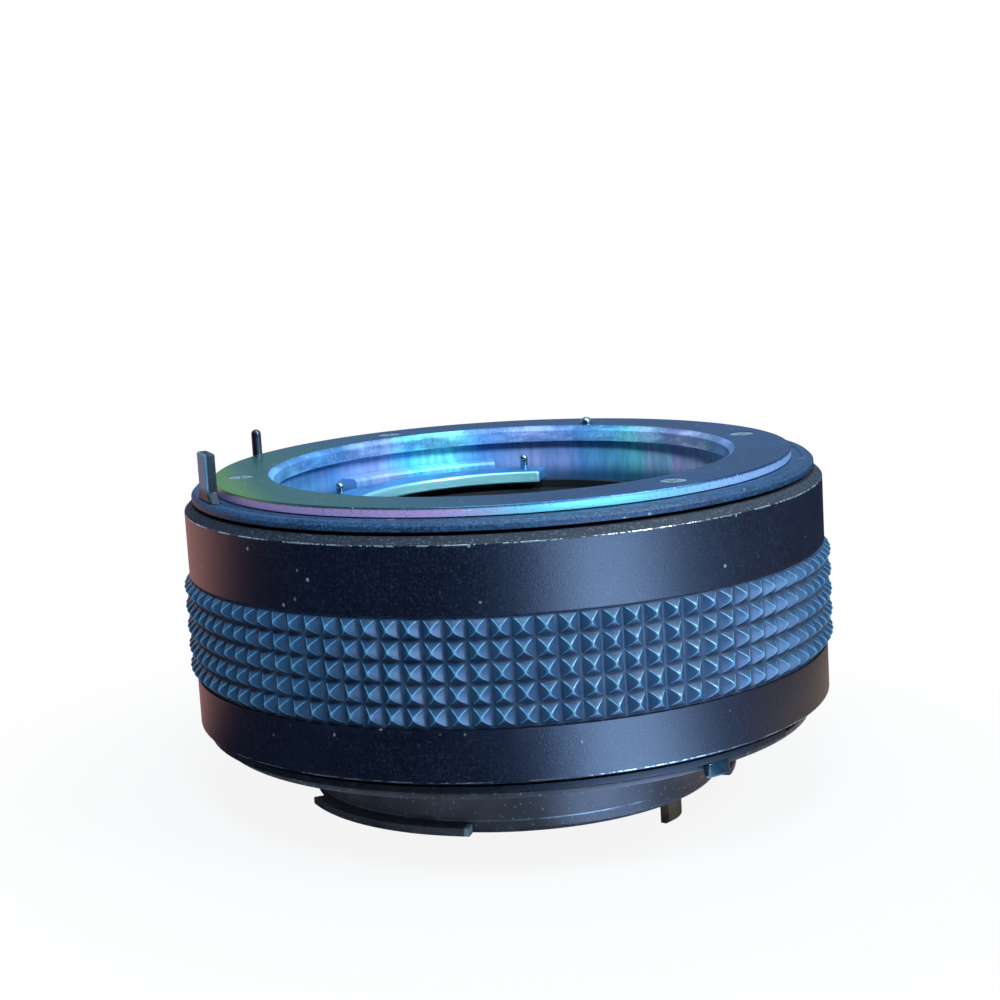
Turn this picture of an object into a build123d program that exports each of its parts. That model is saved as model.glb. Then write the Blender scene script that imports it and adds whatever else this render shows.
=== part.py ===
from build123d import *
import os
from math import cos, radians, sin, sqrt

# Camera teleconverter, in millimetres and degrees.
# Z is the optical axis. Z = 0 is the rear flange plane and +Z points at the lens.

# Clearances
fit_gap = 0.03
running_gap = 0.07
free_gap = 0.3
overrun = 1.0

# Optics, from the rear: rim height, front crown, rear crown
lens_clear_radius = 12.5
lens_rim_width = 1.07
rear_element_sizes = (2.2, 1.2, 0.45)
fourth_element_sizes = (2.6, -0.9, -0.9)
middle_element_sizes = (2.2, 1.4, 1.0)
second_element_sizes = (2.4, -0.8, -0.8)
front_element_sizes = (2.4, 1.5, 0.3)
lens_spacer_heights = (3.2, 1.2, 2.6, 1.6)
lens_retainer_height = 1.2
lens_retainer_margin = 0.2
lens_retainer_bevel = 0.4

# Lens barrel
barrel_wall = 3.4
barrel_rise = 0.3
barrel_flange_thickness = 1.6
barrel_tail_depth = 4.6
barrel_tail_step = 0.4
barrel_rear_lip = 0.8
barrel_rear_lip_margin = 0.1
barrel_mouth_rim = 1.2
barrel_mouth_depth = 2.6
barrel_groove_count = 4
barrel_groove_depth = 0.22
barrel_screw_angles = (10, 130, -110)
barrel_screw_radius = 0.55
barrel_screw_head_radius = 0.95
barrel_screw_head_height = 0.5
barrel_screw_length = 2.2

# Stop-down mechanism inside the throat
sleeve_wall = 0.9
sleeve_float = 0.2
sleeve_rise = 1.1
sleeve_lug_angle = -3
sleeve_lug_span = 3
sleeve_lug_reach = 1.3
sleeve_lug_height = 1.4
spring_peg_height = 1.4
stopdown_travel_angle = 14
stopdown_plate_start_angle = 75
stopdown_plate_span = 94
stopdown_plate_width = 3.8
stopdown_plate_overhang = 1.03
stopdown_plate_thickness = 1.2
stopdown_pin_angles = (82, 164)
stopdown_pin_radius = 0.42
stopdown_pin_height = 1.6
lever_start_angle = -41
lever_span = 8.2
lever_thickness = 1.0
lever_projection = 2.7
lever_root_height = 6.0
lever_foot_chamfer = 0.35
lever_foot_round = 0.7
lever_clearance = 0.4
gusset_thickness = 0.6
gusset_root_height = 0.6
gusset_angles = (-57, -53, -49, -40.5)
gusset_projections = (0.0, 0.9, 1.25, 2.6)
lever_slot_margin_angle = 2.5

# Rear mount
male_barrel_wall = 1.4
male_barrel_depth = 6.3
male_barrel_chamfer = 0.45
male_tab_reach = 1.55
male_tab_drop = 5.25
male_tab_thickness = 0.9
male_tab_chamfer = 0.25
male_tab_angles = ((-157, 54), (-18, 50), (84, 52))
rear_plate_inset = 1.95
rear_plate_thickness = 0.55
rear_spigot_height = 1.45
rear_clamp_width = 1.59
rear_screw_angles = (-135, -45, 45, 135)

# Front mount and claw ring
claw_clearance = 0.3
bore_clearance = 0.55
claw_ring_wall = 0.76
claw_ring_recess = 0.3
claw_ring_depth = 4.5
claw_drop = 3.5
claw_thickness = 1.5
claw_lead = 0.3
claw_angles = ((-148, 46), (-28, 46), (92, 46))
leaf_thickness = 0.2
leaf_recess = 0.3
leaf_margin_angle = 5
mount_lip_height = 0.9
mount_lip_gap = 0.1
mount_lip_overhang = 0.43
mount_neck_overhang = 0.2
mount_thickness = 1.7
mount_entry_chamfer = 0.5
mount_edge_chamfer = 0.12
mount_screw_angles = (-173.5, -53.5, 16, 118)
screw_head_radius = 1.3
screw_head_rim = 0.12
screw_shank_radius = 0.7
screw_length = 3.0
screw_sink = 0.06
screw_slot_width = 0.3
screw_slot_depth = 0.35
stop_screw_angle = -72
stop_screw_radius = 0.6
stop_screw_reach = 0.8
stop_screw_depth = 2.4

# Light baffle under the claw ring
baffle_thickness = 0.5
baffle_clearance = 1.6

# Chassis
chassis_wall = 2.41
chassis_step = 1.99
chassis_flange_reach = 2.0
chassis_top_flange = 1.8
chassis_bottom_flange = 1.9
chassis_mid_flange = 2.4
chassis_ledge_width = 2.79
chassis_ledge_height = 1.2

# Posts that join the two coupling rings
coupling_travel_angle = 48
post_angles = (-110, 130)
post_span = 6
post_clearance = 0.35
post_thickness = 1.05
post_swing_margin_angle = 4
post_screw_radius = 0.35
post_screw_head_radius = 0.42
post_screw_depth = 1.6
post_screw_head_height = 0.25

# Carrier tube under the grip
carrier_clearance = 0.42
carrier_wall = 0.7
carrier_overlap = 1.5
carrier_screw_radius = 0.8
carrier_screw_head_radius = 1.4
carrier_screw_head_height = 0.4
carrier_screw_angles = (-160, -20, 85)

# Housing shells
shell_wall = 1.05
lower_shell_height = 5.05
upper_shell_height = 7.05
shell_top_chamfer = 0.7
shell_bottom_chamfer = 0.25
shell_lip_height = 0.8
shell_lip_clearance = 0.4

# Grip with pyramid studs
grip_columns = 100
grip_rows = 5
grip_row_height = 2.0
grip_rim = 0.1
grip_inset = 0.25
grip_stud_height = 0.9
grip_floor_width = 0.3
grip_seam_width = 0.2

# Rear coupling ring and its lug
ring_inset = 0.8
ring_float = 0.35
rear_ring_thickness = 0.65
rear_ring_end_angle = -35.5
rear_ring_span = 262
lug_start_angle = -56.6
lug_span = 5.0
lug_thickness = 0.85
lug_drop = 0.55
lug_round = 0.4

# Front coupling ring, follower tab and follower pin
front_ring_height = 0.85
front_ring_bevel = 0.35
follower_tab_angle = -159
follower_tab_width = 3.1
follower_tab_thickness = 1.1
follower_tab_inset = 0.4
follower_tab_height = 4.7
follower_tab_round = 0.35
follower_foot_width = 5.6
follower_foot_height = 0.9
follower_pin_angle = 151
follower_pin_clearance = 0.25
follower_pin_radius = 0.52
follower_pin_height = 3.5
follower_pin_foot_flare = 0.12
follower_pin_foot_height = 0.35

# Return springs, drawn as wound wires lying in their channels
coupling_spring_radius = 0.5
coupling_spring_span = 37
coupling_peg_span = 4
stopdown_spring_radius = 0.5
stopdown_spring_span = 52
spring_end_angle = 0.6

# Lens lock and its release slide
lock_angle = 67
lock_wall = 0.2
lock_pin_radius = 0.65
lock_pin_proud = 0.7
lock_travel = 1.2
lock_arm_width = 2.0
lock_arm_height = 1.0
lock_arm_depth = 2.25
lock_spring_clearance = 0.1
lock_spring_wall = 0.22
lock_spring_height = 5.2
slide_gap = 0.15
slide_thickness = 0.6
slide_height = 4.2
slide_span = 13
slide_grip_span = 9
slide_grip_height = 2.4
slide_grip_reach = 1.3
slide_ridge_count = 4
slide_ridge_depth = 0.35

# Index dot
dot_angle = 92
dot_radius = 0.8
dot_depth = 0.3
dot_height_above_grip = 4.4

# Shares
dome_share = 0.92

# Radii, from the axis outwards
lens_radius = lens_clear_radius + lens_rim_width
lens_retainer_radius = lens_clear_radius + lens_retainer_margin
barrel_bore_radius = lens_radius + fit_gap
barrel_rear_lip_radius = lens_clear_radius + barrel_rear_lip_margin
barrel_radius = barrel_bore_radius + barrel_wall
barrel_tail_radius = barrel_radius - barrel_tail_step
barrel_mouth_radius = barrel_radius - barrel_mouth_rim
sleeve_inner = barrel_radius + running_gap
sleeve_outer = sleeve_inner + sleeve_wall
lever_inner = sleeve_outer + fit_gap
lever_outer = lever_inner + lever_thickness
stopdown_plate_outer = sleeve_outer + stopdown_plate_overhang
stopdown_plate_inner = stopdown_plate_outer - stopdown_plate_width
stopdown_pin_circle = sleeve_outer - stopdown_pin_radius
baffle_inner_radius = sleeve_outer + baffle_clearance
male_barrel_inner = lever_outer + lever_clearance
male_barrel_radius = male_barrel_inner + male_barrel_wall
male_tab_radius = male_barrel_radius + male_tab_reach
claw_radius = male_barrel_radius + claw_clearance
mount_bore_radius = male_tab_radius + bore_clearance
claw_ring_inner = mount_bore_radius + claw_ring_recess
claw_ring_radius = claw_ring_inner + claw_ring_wall
chassis_bore = claw_ring_radius + fit_gap
chassis_wall_radius = chassis_bore - chassis_step
chassis_ledge_radius = chassis_bore - chassis_ledge_width
chassis_outer_radius = chassis_bore + chassis_wall
chassis_flange_radius = chassis_outer_radius + chassis_flange_reach
rear_clamp_radius = chassis_bore - rear_clamp_width
barrel_screw_circle = (chassis_ledge_radius + chassis_bore) / 2
mount_screw_circle = (chassis_bore + chassis_flange_radius) / 2
mount_neck_radius = chassis_flange_radius + mount_neck_overhang
mount_radius = mount_neck_radius + mount_lip_overhang
lock_circle = chassis_bore + lock_wall + lock_pin_radius
lock_spring_outer_radius = lock_pin_radius + running_gap - lock_spring_clearance
post_inner_radius = chassis_flange_radius + post_clearance
post_outer_radius = post_inner_radius + post_thickness
shell_lip_radius = post_outer_radius + shell_lip_clearance
carrier_inner = post_outer_radius + carrier_clearance
carrier_outer = carrier_inner + carrier_wall
shell_bore = carrier_outer + fit_gap
shell_radius = shell_bore + shell_wall
grip_valley_radius = shell_radius - grip_inset
grip_peak_radius = grip_valley_radius + grip_stud_height
ring_radius = shell_radius - ring_inset
rear_plate_radius = shell_radius - rear_plate_inset
follower_tab_radius = ring_radius - follower_tab_inset
follower_pin_foot_radius = follower_pin_radius + follower_pin_foot_flare
follower_pin_circle = mount_radius + follower_pin_clearance + follower_pin_foot_radius

# Heights, from the rear flange upwards
chassis_low = rear_plate_thickness + rear_spigot_height
rear_ring_low = rear_plate_thickness + ring_float
rear_ring_high = rear_ring_low + rear_ring_thickness
lower_shell_low = rear_ring_high + ring_float
grip_low = lower_shell_low + lower_shell_height
grip_high = grip_low + grip_rows * grip_row_height + 2 * grip_rim
upper_shell_high = grip_high + upper_shell_height
front_ring_low = upper_shell_high + ring_float
front_ring_high = front_ring_low + front_ring_height
front_flange = front_ring_high + mount_lip_gap + mount_lip_height
mount_low = front_flange - mount_thickness
claw_ring_low = mount_low - claw_ring_depth
baffle_low = claw_ring_low - baffle_thickness
claw_high = front_flange - claw_drop
claw_low = claw_high - claw_thickness
barrel_flange_high = chassis_low + barrel_flange_thickness
barrel_top = claw_ring_low + barrel_rise
ledge_high = barrel_flange_high + chassis_ledge_height
sleeve_low = barrel_flange_high + sleeve_float
sleeve_top = claw_ring_low + sleeve_rise
plate_high = sleeve_top + stopdown_plate_thickness
lever_low = -male_barrel_depth - lever_projection
lever_high = chassis_low + lever_root_height
lever_end_angle = lever_start_angle + lever_span
mid_flange_low = (grip_low + grip_high - chassis_mid_flange) / 2
mid_flange_high = mid_flange_low + chassis_mid_flange
coupling_spring_height = (chassis_low + chassis_bottom_flange + mid_flange_low) / 2
stopdown_spring_height = (lever_high + baffle_low) / 2
lock_arm_top = upper_shell_high - lock_arm_depth


# Shapes
def turned(outline, start=0, span=360):
    """Turns an outline of (radius, height) points about the optical axis."""
    corners = [(radius, 0, height) for radius, height in outline]
    face = make_face(Polyline(*corners, close=True))
    return revolve(Rot(0, 0, start) * face, Axis.Z, span)


def tube(inner, outer, low, high, start=0, span=360):
    """A tube, or the sector of one, between two radii and two heights."""
    outline = [(inner, low), (outer, low), (outer, high), (inner, high)]
    return turned(outline, start, span)


def at(radius, angle, height):
    """A place on a circle round the optical axis, with X pointing outwards."""
    angle_rad = radians(angle)
    return Pos(radius * cos(angle_rad), radius * sin(angle_rad), height) * Rot(0, 0, angle)


def rod(radius, low, high, place_radius, angle):
    """A round rod along Z."""
    blank = Cylinder(radius, high - low, align=(Align.CENTER, Align.CENTER, Align.MIN))
    return at(place_radius, angle, low) * blank


def domed_pin(radius, low, high, place_radius, angle):
    """A round pin along Z with a half-round top."""
    return fillet_top(rod(radius, low, high, place_radius, angle), radius * dome_share)


def fillet_top(solid, radius):
    """Rounds the edges of the highest face."""
    return fillet(solid.faces().sort_by(Axis.Z)[-1].edges(), radius)


def radial_block(inner, outer, width, low, high, angle):
    """A straight block that points outwards from the optical axis."""
    block = Box(outer - inner, width, high - low, align=(Align.MIN, Align.CENTER, Align.MIN))
    return at(inner, angle, low) * block


def countersunk(top, gap=0.0, above=0.0):
    """A countersunk screw on the axis, or the hole that it leaves with a gap round it."""
    head = screw_head_radius + gap
    shank = screw_shank_radius + gap
    cone_top = top - screw_head_rim
    cone_low = cone_top - (head - shank)
    low = top - screw_length - gap
    high = top + above
    return turned([(0, high), (head, high), (head, cone_top), (shank, cone_low), (shank, low), (0, low)])


# Housing
def lower_shell():
    outline = [
        (shell_lip_radius, lower_shell_low),
        (shell_radius - shell_bottom_chamfer, lower_shell_low),
        (shell_radius, lower_shell_low + shell_bottom_chamfer),
        (shell_radius, grip_low - fit_gap),
        (shell_bore, grip_low - fit_gap),
        (shell_bore, lower_shell_low + shell_lip_height),
        (shell_lip_radius, lower_shell_low + shell_lip_height),
    ]
    return turned(outline)


def upper_shell():
    low = grip_high + fit_gap
    outline = [
        (shell_bore, low),
        (shell_radius, low),
        (shell_radius, upper_shell_high - shell_top_chamfer),
        (shell_radius - shell_top_chamfer, upper_shell_high),
        (shell_lip_radius, upper_shell_high),
        (shell_lip_radius, upper_shell_high - shell_lip_height),
        (shell_bore, upper_shell_high - shell_lip_height),
    ]
    dot_hole = dot_blank(dot_radius, shell_radius - dot_depth, shell_radius + overrun)
    return turned(outline) - release_slot(shell_bore - overrun, shell_radius + overrun) - dot_hole


def dot_blank(radius, inner, outer):
    blank = Cylinder(radius, outer - inner, align=(Align.CENTER, Align.CENTER, Align.MIN))
    return at(inner, dot_angle, grip_high + dot_height_above_grip) * Rot(0, 90, 0) * blank


def index_dot():
    proud = dot_blank(dot_radius - fit_gap, shell_radius - dot_depth, shell_radius + overrun)
    return proud & tube(shell_bore, shell_radius, grip_high, upper_shell_high)


def grip_carrier():
    low = grip_low - carrier_overlap
    high = grip_high + carrier_overlap
    body = tube(carrier_inner, carrier_outer, low, high)
    for angle in carrier_screw_angles:
        body -= carrier_screw_blank(carrier_screw_radius + fit_gap, carrier_inner - overrun, angle)
        body -= carrier_screw_head_blank(carrier_screw_head_radius + fit_gap, angle, overrun)
    return body


def carrier_screw_blank(radius, inner, angle):
    middle = (mid_flange_low + mid_flange_high) / 2
    blank = Cylinder(radius, carrier_outer - inner, align=(Align.CENTER, Align.CENTER, Align.MIN))
    return at(inner, angle, middle) * Rot(0, 90, 0) * blank


def carrier_screw_head_blank(radius, angle, extra):
    middle = (mid_flange_low + mid_flange_high) / 2
    inner = carrier_outer - carrier_screw_head_height
    height = carrier_screw_head_height + extra
    blank = Cylinder(radius, height, align=(Align.CENTER, Align.CENTER, Align.MIN))
    return at(inner, angle, middle) * Rot(0, 90, 0) * blank


def carrier_screws():
    screws = []
    for angle in carrier_screw_angles:
        shank = carrier_screw_blank(carrier_screw_radius, chassis_flange_radius, angle)
        head = carrier_screw_head_blank(carrier_screw_head_radius, angle, 0)
        trim = tube(chassis_flange_radius, carrier_outer, mid_flange_low, mid_flange_high)
        screws.append((shank + head) & trim)
    return screws


def grip_ring_points(radius, height, offset=0.0):
    """One point for each column of studs."""
    pitch = radians(360 / grip_columns)
    turns = [(column + offset) * pitch for column in range(grip_columns)]
    return [Vector(radius * cos(turn), radius * sin(turn), height) for turn in turns]


def grip_sleeve():
    """A rubber sleeve whose outside is a sewn skin of square pyramids."""
    studs_low = grip_low + grip_rim
    levels = [studs_low + row * grip_row_height for row in range(grip_rows + 1)]
    rings = [grip_ring_points(grip_valley_radius, level) for level in levels]
    bottom = grip_ring_points(grip_valley_radius, grip_low)
    top = grip_ring_points(grip_valley_radius, grip_high)
    faces = [flat_face(bottom), flat_face(top)]
    for column in range(grip_columns):
        after = (column + 1) % grip_columns
        faces.append(flat_face([bottom[column], bottom[after], rings[0][after], rings[0][column]]))
        faces.append(flat_face([rings[-1][column], rings[-1][after], top[after], top[column]]))
    for row in range(grip_rows):
        middle = levels[row] + grip_row_height / 2
        peaks = grip_ring_points(grip_peak_radius, middle, 0.5)
        for column, peak in enumerate(peaks):
            after = (column + 1) % grip_columns
            base = [rings[row][column], rings[row][after], rings[row + 1][after], rings[row + 1][column]]
            faces += stud_faces(base, peak)
    skin = Solid(Shell(faces))
    bore = tube(0, carrier_outer + fit_gap, grip_low - overrun, grip_high + overrun)
    return skin - bore


def stud_faces(base, peak):
    """The flat frame that borders one stud, and the stud's four sides."""
    across = (base[1] - base[0]).normalized() * (grip_floor_width / 2)
    up = Vector(0, 0, grip_seam_width / 2)
    foot = [base[0] + across + up, base[1] - across + up, base[2] - across - up, base[3] + across - up]
    frame = Face(Wire.make_polygon(base, close=True), [Wire.make_polygon(foot, close=True)])
    return [frame] + [flat_face([foot[corner], foot[(corner + 1) % 4], peak]) for corner in range(4)]


def flat_face(corners):
    return Face(Wire.make_polygon(corners, close=True))


# Chassis and light baffle
def chassis():
    outline = [
        (chassis_bore, chassis_low),
        (chassis_flange_radius, chassis_low),
        (chassis_flange_radius, chassis_low + chassis_bottom_flange),
        (chassis_outer_radius, chassis_low + chassis_bottom_flange),
        (chassis_outer_radius, mid_flange_low),
        (chassis_flange_radius, mid_flange_low),
        (chassis_flange_radius, mid_flange_high),
        (chassis_outer_radius, mid_flange_high),
        (chassis_outer_radius, mount_low - chassis_top_flange),
        (chassis_flange_radius, mount_low - chassis_top_flange),
        (chassis_flange_radius, mount_low),
        (chassis_bore, mount_low),
        (chassis_bore, baffle_low),
        (chassis_wall_radius, baffle_low),
        (chassis_wall_radius, ledge_high),
        (chassis_ledge_radius, ledge_high),
        (chassis_ledge_radius, barrel_flange_high),
        (chassis_bore, barrel_flange_high),
    ]
    body = turned(outline)
    lug_radius = carrier_inner - fit_gap
    for start, span in carrier_lug_sectors():
        body += tube(chassis_outer_radius, lug_radius, mid_flange_low, mid_flange_high, start, span)
    body += coupling_spring_peg() + stopdown_spring_peg()
    for angle in mount_screw_angles:
        body -= mount_screw(angle, fit_gap, overrun)
    for angle in rear_screw_angles:
        body -= rear_screw(angle, fit_gap, overrun)
    for angle in barrel_screw_angles:
        body -= barrel_screw(angle, fit_gap)
    for angle in carrier_screw_angles:
        body -= carrier_screw_blank(carrier_screw_radius + fit_gap, chassis_flange_radius, angle)
    body -= stop_screw_blank(stop_screw_radius + fit_gap, fit_gap)
    pocket_low = lock_arm_top - lock_arm_height - lock_spring_height
    body -= rod(lock_pin_radius + running_gap, pocket_low, mount_low + overrun, lock_circle, lock_angle)
    body -= release_slot(lock_circle - lock_pin_radius - running_gap, chassis_flange_radius + overrun)
    return body


def carrier_lug_sectors():
    """The stretches of the middle flange between the swings of the two posts."""
    reach = post_span / 2 + post_swing_margin_angle
    first, second = post_angles
    swing = coupling_travel_angle + reach
    free_between = second - reach - first - swing
    free_round_back = 360 + first - reach - second - swing
    return [(first + swing, free_between), (second + swing, free_round_back)]


def coupling_spring_peg():
    """The peg outside the chassis that the coupling spring pushes off."""
    start = coupling_spring_start() - spring_end_angle - coupling_peg_span
    low = coupling_spring_height - spring_peg_height / 2
    outer = carrier_inner - free_gap
    return tube(chassis_outer_radius - fit_gap, outer, low, low + spring_peg_height, start, coupling_peg_span)


def stopdown_spring_peg():
    """The peg inside the chassis that the stop-down spring pushes off."""
    start = stopdown_spring_start() - spring_end_angle - sleeve_lug_span
    low = stopdown_spring_height - spring_peg_height / 2
    inner = sleeve_outer + free_gap
    return tube(inner, chassis_wall_radius + fit_gap, low, low + spring_peg_height, start, sleeve_lug_span)


def light_baffle():
    return tube(baffle_inner_radius, claw_ring_radius, baffle_low, claw_ring_low)


# Front mount
def front_mount():
    lip_low = front_flange - mount_lip_height
    outline = [
        (mount_bore_radius, mount_low),
        (mount_neck_radius, mount_low),
        (mount_neck_radius, lip_low),
        (mount_radius, lip_low),
        (mount_radius, front_flange - mount_edge_chamfer),
        (mount_radius - mount_edge_chamfer, front_flange),
        (mount_bore_radius + mount_entry_chamfer, front_flange),
        (mount_bore_radius, front_flange - mount_entry_chamfer),
    ]
    body = turned(outline)
    for angle in mount_screw_angles:
        body -= mount_screw(angle, fit_gap, overrun)
    pin_hole = lock_pin_radius + running_gap
    return body - rod(pin_hole, mount_low - overrun, front_flange + overrun, lock_circle, lock_angle)


def mount_screw(angle, gap=0.0, above=0.0):
    return at(mount_screw_circle, angle, 0) * countersunk(front_flange - screw_sink, gap, above)


def front_mount_screws():
    screws = []
    for angle in mount_screw_angles:
        top = front_flange - screw_sink
        slot = Box(2 * screw_head_radius + overrun, screw_slot_width, 2 * screw_slot_depth)
        screws.append(mount_screw(angle) - at(mount_screw_circle, angle, top) * slot)
    return screws


def stop_screw_blank(radius, gap=0.0):
    """The small screw through the claw ring that stops a lens at the end of its turn."""
    inner = mount_bore_radius - stop_screw_reach
    length = stop_screw_reach + stop_screw_depth + gap
    blank = Cylinder(radius, length, align=(Align.CENTER, Align.CENTER, Align.MIN))
    return at(inner, stop_screw_angle, (claw_low + claw_high) / 2) * Rot(0, 90, 0) * blank


def rotation_stop():
    return stop_screw_blank(stop_screw_radius)


def claw_ring():
    body = tube(claw_ring_inner, claw_ring_radius, claw_ring_low, mount_low)
    for start, span in claw_angles:
        outline = [
            (claw_radius, claw_low),
            (claw_ring_inner + claw_ring_wall / 2, claw_low),
            (claw_ring_inner + claw_ring_wall / 2, claw_high),
            (claw_radius + claw_lead, claw_high),
            (claw_radius, claw_high - claw_lead),
        ]
        body += turned(outline, start, span)
    return body - stop_screw_blank(stop_screw_radius + fit_gap)


def claw_springs():
    high = claw_low - fit_gap
    inner = claw_radius + leaf_recess
    outer = claw_ring_inner - fit_gap
    leaves = []
    for start, span in claw_angles:
        leaf_start = start + leaf_margin_angle
        leaf_span = span - 2 * leaf_margin_angle
        leaves.append(tube(inner, outer, high - leaf_thickness, high, leaf_start, leaf_span))
    return leaves


# Rear mount
def rear_mount():
    barrel_low = -male_barrel_depth
    outline = [
        (male_barrel_inner, barrel_low),
        (male_barrel_radius - male_barrel_chamfer, barrel_low),
        (male_barrel_radius, barrel_low + male_barrel_chamfer),
        (male_barrel_radius, 0),
        (rear_plate_radius, 0),
        (rear_plate_radius, rear_plate_thickness),
        (chassis_flange_radius, rear_plate_thickness),
        (chassis_flange_radius, chassis_low),
        (rear_clamp_radius, chassis_low),
        (rear_clamp_radius, rear_plate_thickness),
        (male_barrel_inner, rear_plate_thickness),
    ]
    body = turned(outline)
    root = male_barrel_radius - male_barrel_wall / 2
    tab_low = -male_tab_drop - male_tab_thickness
    for start, span in male_tab_angles:
        tab = [
            (root, tab_low),
            (male_tab_radius - male_tab_chamfer, tab_low),
            (male_tab_radius, tab_low + male_tab_chamfer),
            (male_tab_radius, -male_tab_drop),
            (root, -male_tab_drop),
        ]
        body += turned(tab, start, span)
    for angle in rear_screw_angles:
        body -= rear_screw(angle, fit_gap, overrun)
    return body


def rear_screw(angle, gap=0.0, above=0.0):
    """The front screw turned over, so that its head is level with the rear plate."""
    return at(mount_screw_circle, angle, 0) * Rot(180, 0, 0) * countersunk(-screw_sink, gap, above)


def rear_mount_screws():
    screws = []
    for angle in rear_screw_angles:
        slot = Box(2 * screw_head_radius + overrun, screw_slot_width, 2 * screw_slot_depth)
        screws.append(rear_screw(angle) - at(mount_screw_circle, angle, screw_sink) * slot)
    return screws


# Coupling rings, their posts and what the lens and the camera touch
def front_coupling_ring():
    inner = mount_neck_radius + running_gap
    outline = [
        (inner, front_ring_low),
        (ring_radius, front_ring_low),
        (ring_radius, front_ring_high - front_ring_bevel),
        (ring_radius - front_ring_bevel, front_ring_high),
        (inner, front_ring_high),
    ]
    body = turned(outline)
    high = front_ring_high + overrun
    for angle in post_angles:
        body -= post_screw_shank(angle, high, fit_gap)
        body -= post_screw_head(angle, high, fit_gap)
    return body


def rear_coupling_ring():
    inner = chassis_flange_radius + running_gap
    start = rear_ring_end_angle - rear_ring_span
    return tube(inner, ring_radius, rear_ring_low, rear_ring_high, start, rear_ring_span)


def coupling_posts():
    posts = []
    for angle in post_angles:
        start = angle - post_span / 2
        post = tube(post_inner_radius, post_outer_radius, rear_ring_high, front_ring_low, start, post_span)
        posts.append(post - post_screw_shank(angle, front_ring_high, fit_gap))
    return posts


def post_screw_shank(angle, high, gap=0.0):
    low = front_ring_high - post_screw_depth - gap
    return rod(post_screw_radius + gap, low, high, (post_inner_radius + post_outer_radius) / 2, angle)


def post_screw_head(angle, high, gap=0.0):
    low = front_ring_high - post_screw_head_height
    return rod(post_screw_head_radius + gap, low, high, (post_inner_radius + post_outer_radius) / 2, angle)


def coupling_screws():
    high = front_ring_high
    return [post_screw_shank(angle, high) + post_screw_head(angle, high) for angle in post_angles]


def follower_tab():
    """A flat upright tab on a wider foot, with rounded corners."""
    half_tab = follower_tab_width / 2
    half_foot = follower_foot_width / 2
    outline = [
        (-half_foot, 0),
        (half_foot, 0),
        (half_tab, follower_foot_height),
        (half_tab, follower_tab_height),
        (-half_tab, follower_tab_height),
        (-half_tab, follower_foot_height),
    ]
    face = make_face(Polyline(*outline, close=True))
    top_corners = face.vertices().sort_by(Axis.Y)[-2:]
    rounded = fillet(top_corners, follower_tab_round)
    plate = extrude(rounded, follower_tab_thickness)
    upright = Rot(0, 0, 90) * Rot(90, 0, 0) * plate
    return at(follower_tab_radius - follower_tab_thickness, follower_tab_angle, front_ring_high) * upright


def follower_pin():
    pin = domed_pin(follower_pin_radius, front_ring_high, front_ring_high + follower_pin_height,
                    follower_pin_circle, follower_pin_angle)
    foot_outline = [
        (0, 0),
        (follower_pin_foot_radius, 0),
        (follower_pin_radius, follower_pin_foot_height),
        (0, follower_pin_foot_height),
    ]
    return pin + at(follower_pin_circle, follower_pin_angle, front_ring_high) * turned(foot_outline)


def coupling_lug():
    outer = ring_radius
    inner = outer - lug_thickness
    body = tube(inner, outer, -lug_drop, rear_ring_low, lug_start_angle, lug_span)
    foot = body.faces().sort_by(Axis.Z)[0]
    corners = foot.edges().filter_by(GeomType.LINE)
    return fillet(corners, lug_round)


# Stop-down mechanism
def stopdown_sleeve():
    body = tube(sleeve_inner, sleeve_outer, sleeve_low, sleeve_top)
    inside = sleeve_inner + sleeve_wall / 2
    reach = sleeve_outer + sleeve_lug_reach
    low = stopdown_spring_height - sleeve_lug_height / 2
    return body + tube(inside, reach, low, low + sleeve_lug_height, sleeve_lug_angle, sleeve_lug_span)


def stopdown_plate():
    body = tube(stopdown_plate_inner, stopdown_plate_outer, sleeve_top, plate_high,
                stopdown_plate_start_angle, stopdown_plate_span)
    hole = stopdown_pin_radius + fit_gap
    for angle in stopdown_pin_angles:
        body -= rod(hole, sleeve_top - overrun, plate_high + overrun, stopdown_pin_circle, angle)
    return body


def stopdown_pins():
    pins = []
    high = plate_high + stopdown_pin_height
    for angle in stopdown_pin_angles:
        pins.append(domed_pin(stopdown_pin_radius, sleeve_top, high, stopdown_pin_circle, angle))
    return pins


def stopdown_lever():
    """A bent tongue riveted outside the sleeve, with a web that stiffens its foot."""
    inner = lever_inner
    body = tube(inner, lever_outer, lever_low, lever_high, lever_start_angle, lever_span)
    foot = body.faces().sort_by(Axis.Z)[0]
    far_edge = foot.edges().filter_by(GeomType.LINE).sort_by(Axis.Y)[-1]
    body = fillet(far_edge, lever_foot_round)
    foot = body.faces().sort_by(Axis.Z)[0]
    outer_edge = foot.edges().filter_by(GeomType.CIRCLE).sort_by(SortBy.LENGTH)[-1]
    body = chamfer(outer_edge, lever_foot_chamfer * lever_thickness)
    span = gusset_angles[-1] - gusset_angles[0]
    web = tube(inner, inner + gusset_thickness, lever_low, gusset_root_height, gusset_angles[0], span)
    return body + (web & gusset_outline(inner + gusset_thickness / 2))


def gusset_outline(radius):
    """A block that points outwards and carries the slanted lower edge of the web."""
    middle = (gusset_angles[0] + gusset_angles[-1]) / 2
    steps = zip(gusset_angles, gusset_projections)
    corners = [(radius * sin(radians(angle - middle)), -male_barrel_depth - step) for angle, step in steps]
    first, last = corners[0][0] - overrun, corners[-1][0] + overrun
    high = gusset_root_height + overrun
    outline = [(first, high), (first, corners[0][1])] + corners + [(last, corners[-1][1]), (last, high)]
    block = extrude(make_face(Polyline(*outline, close=True)), radius + overrun)
    return Rot(0, 0, middle) * Rot(90, 0, 90) * block


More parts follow.
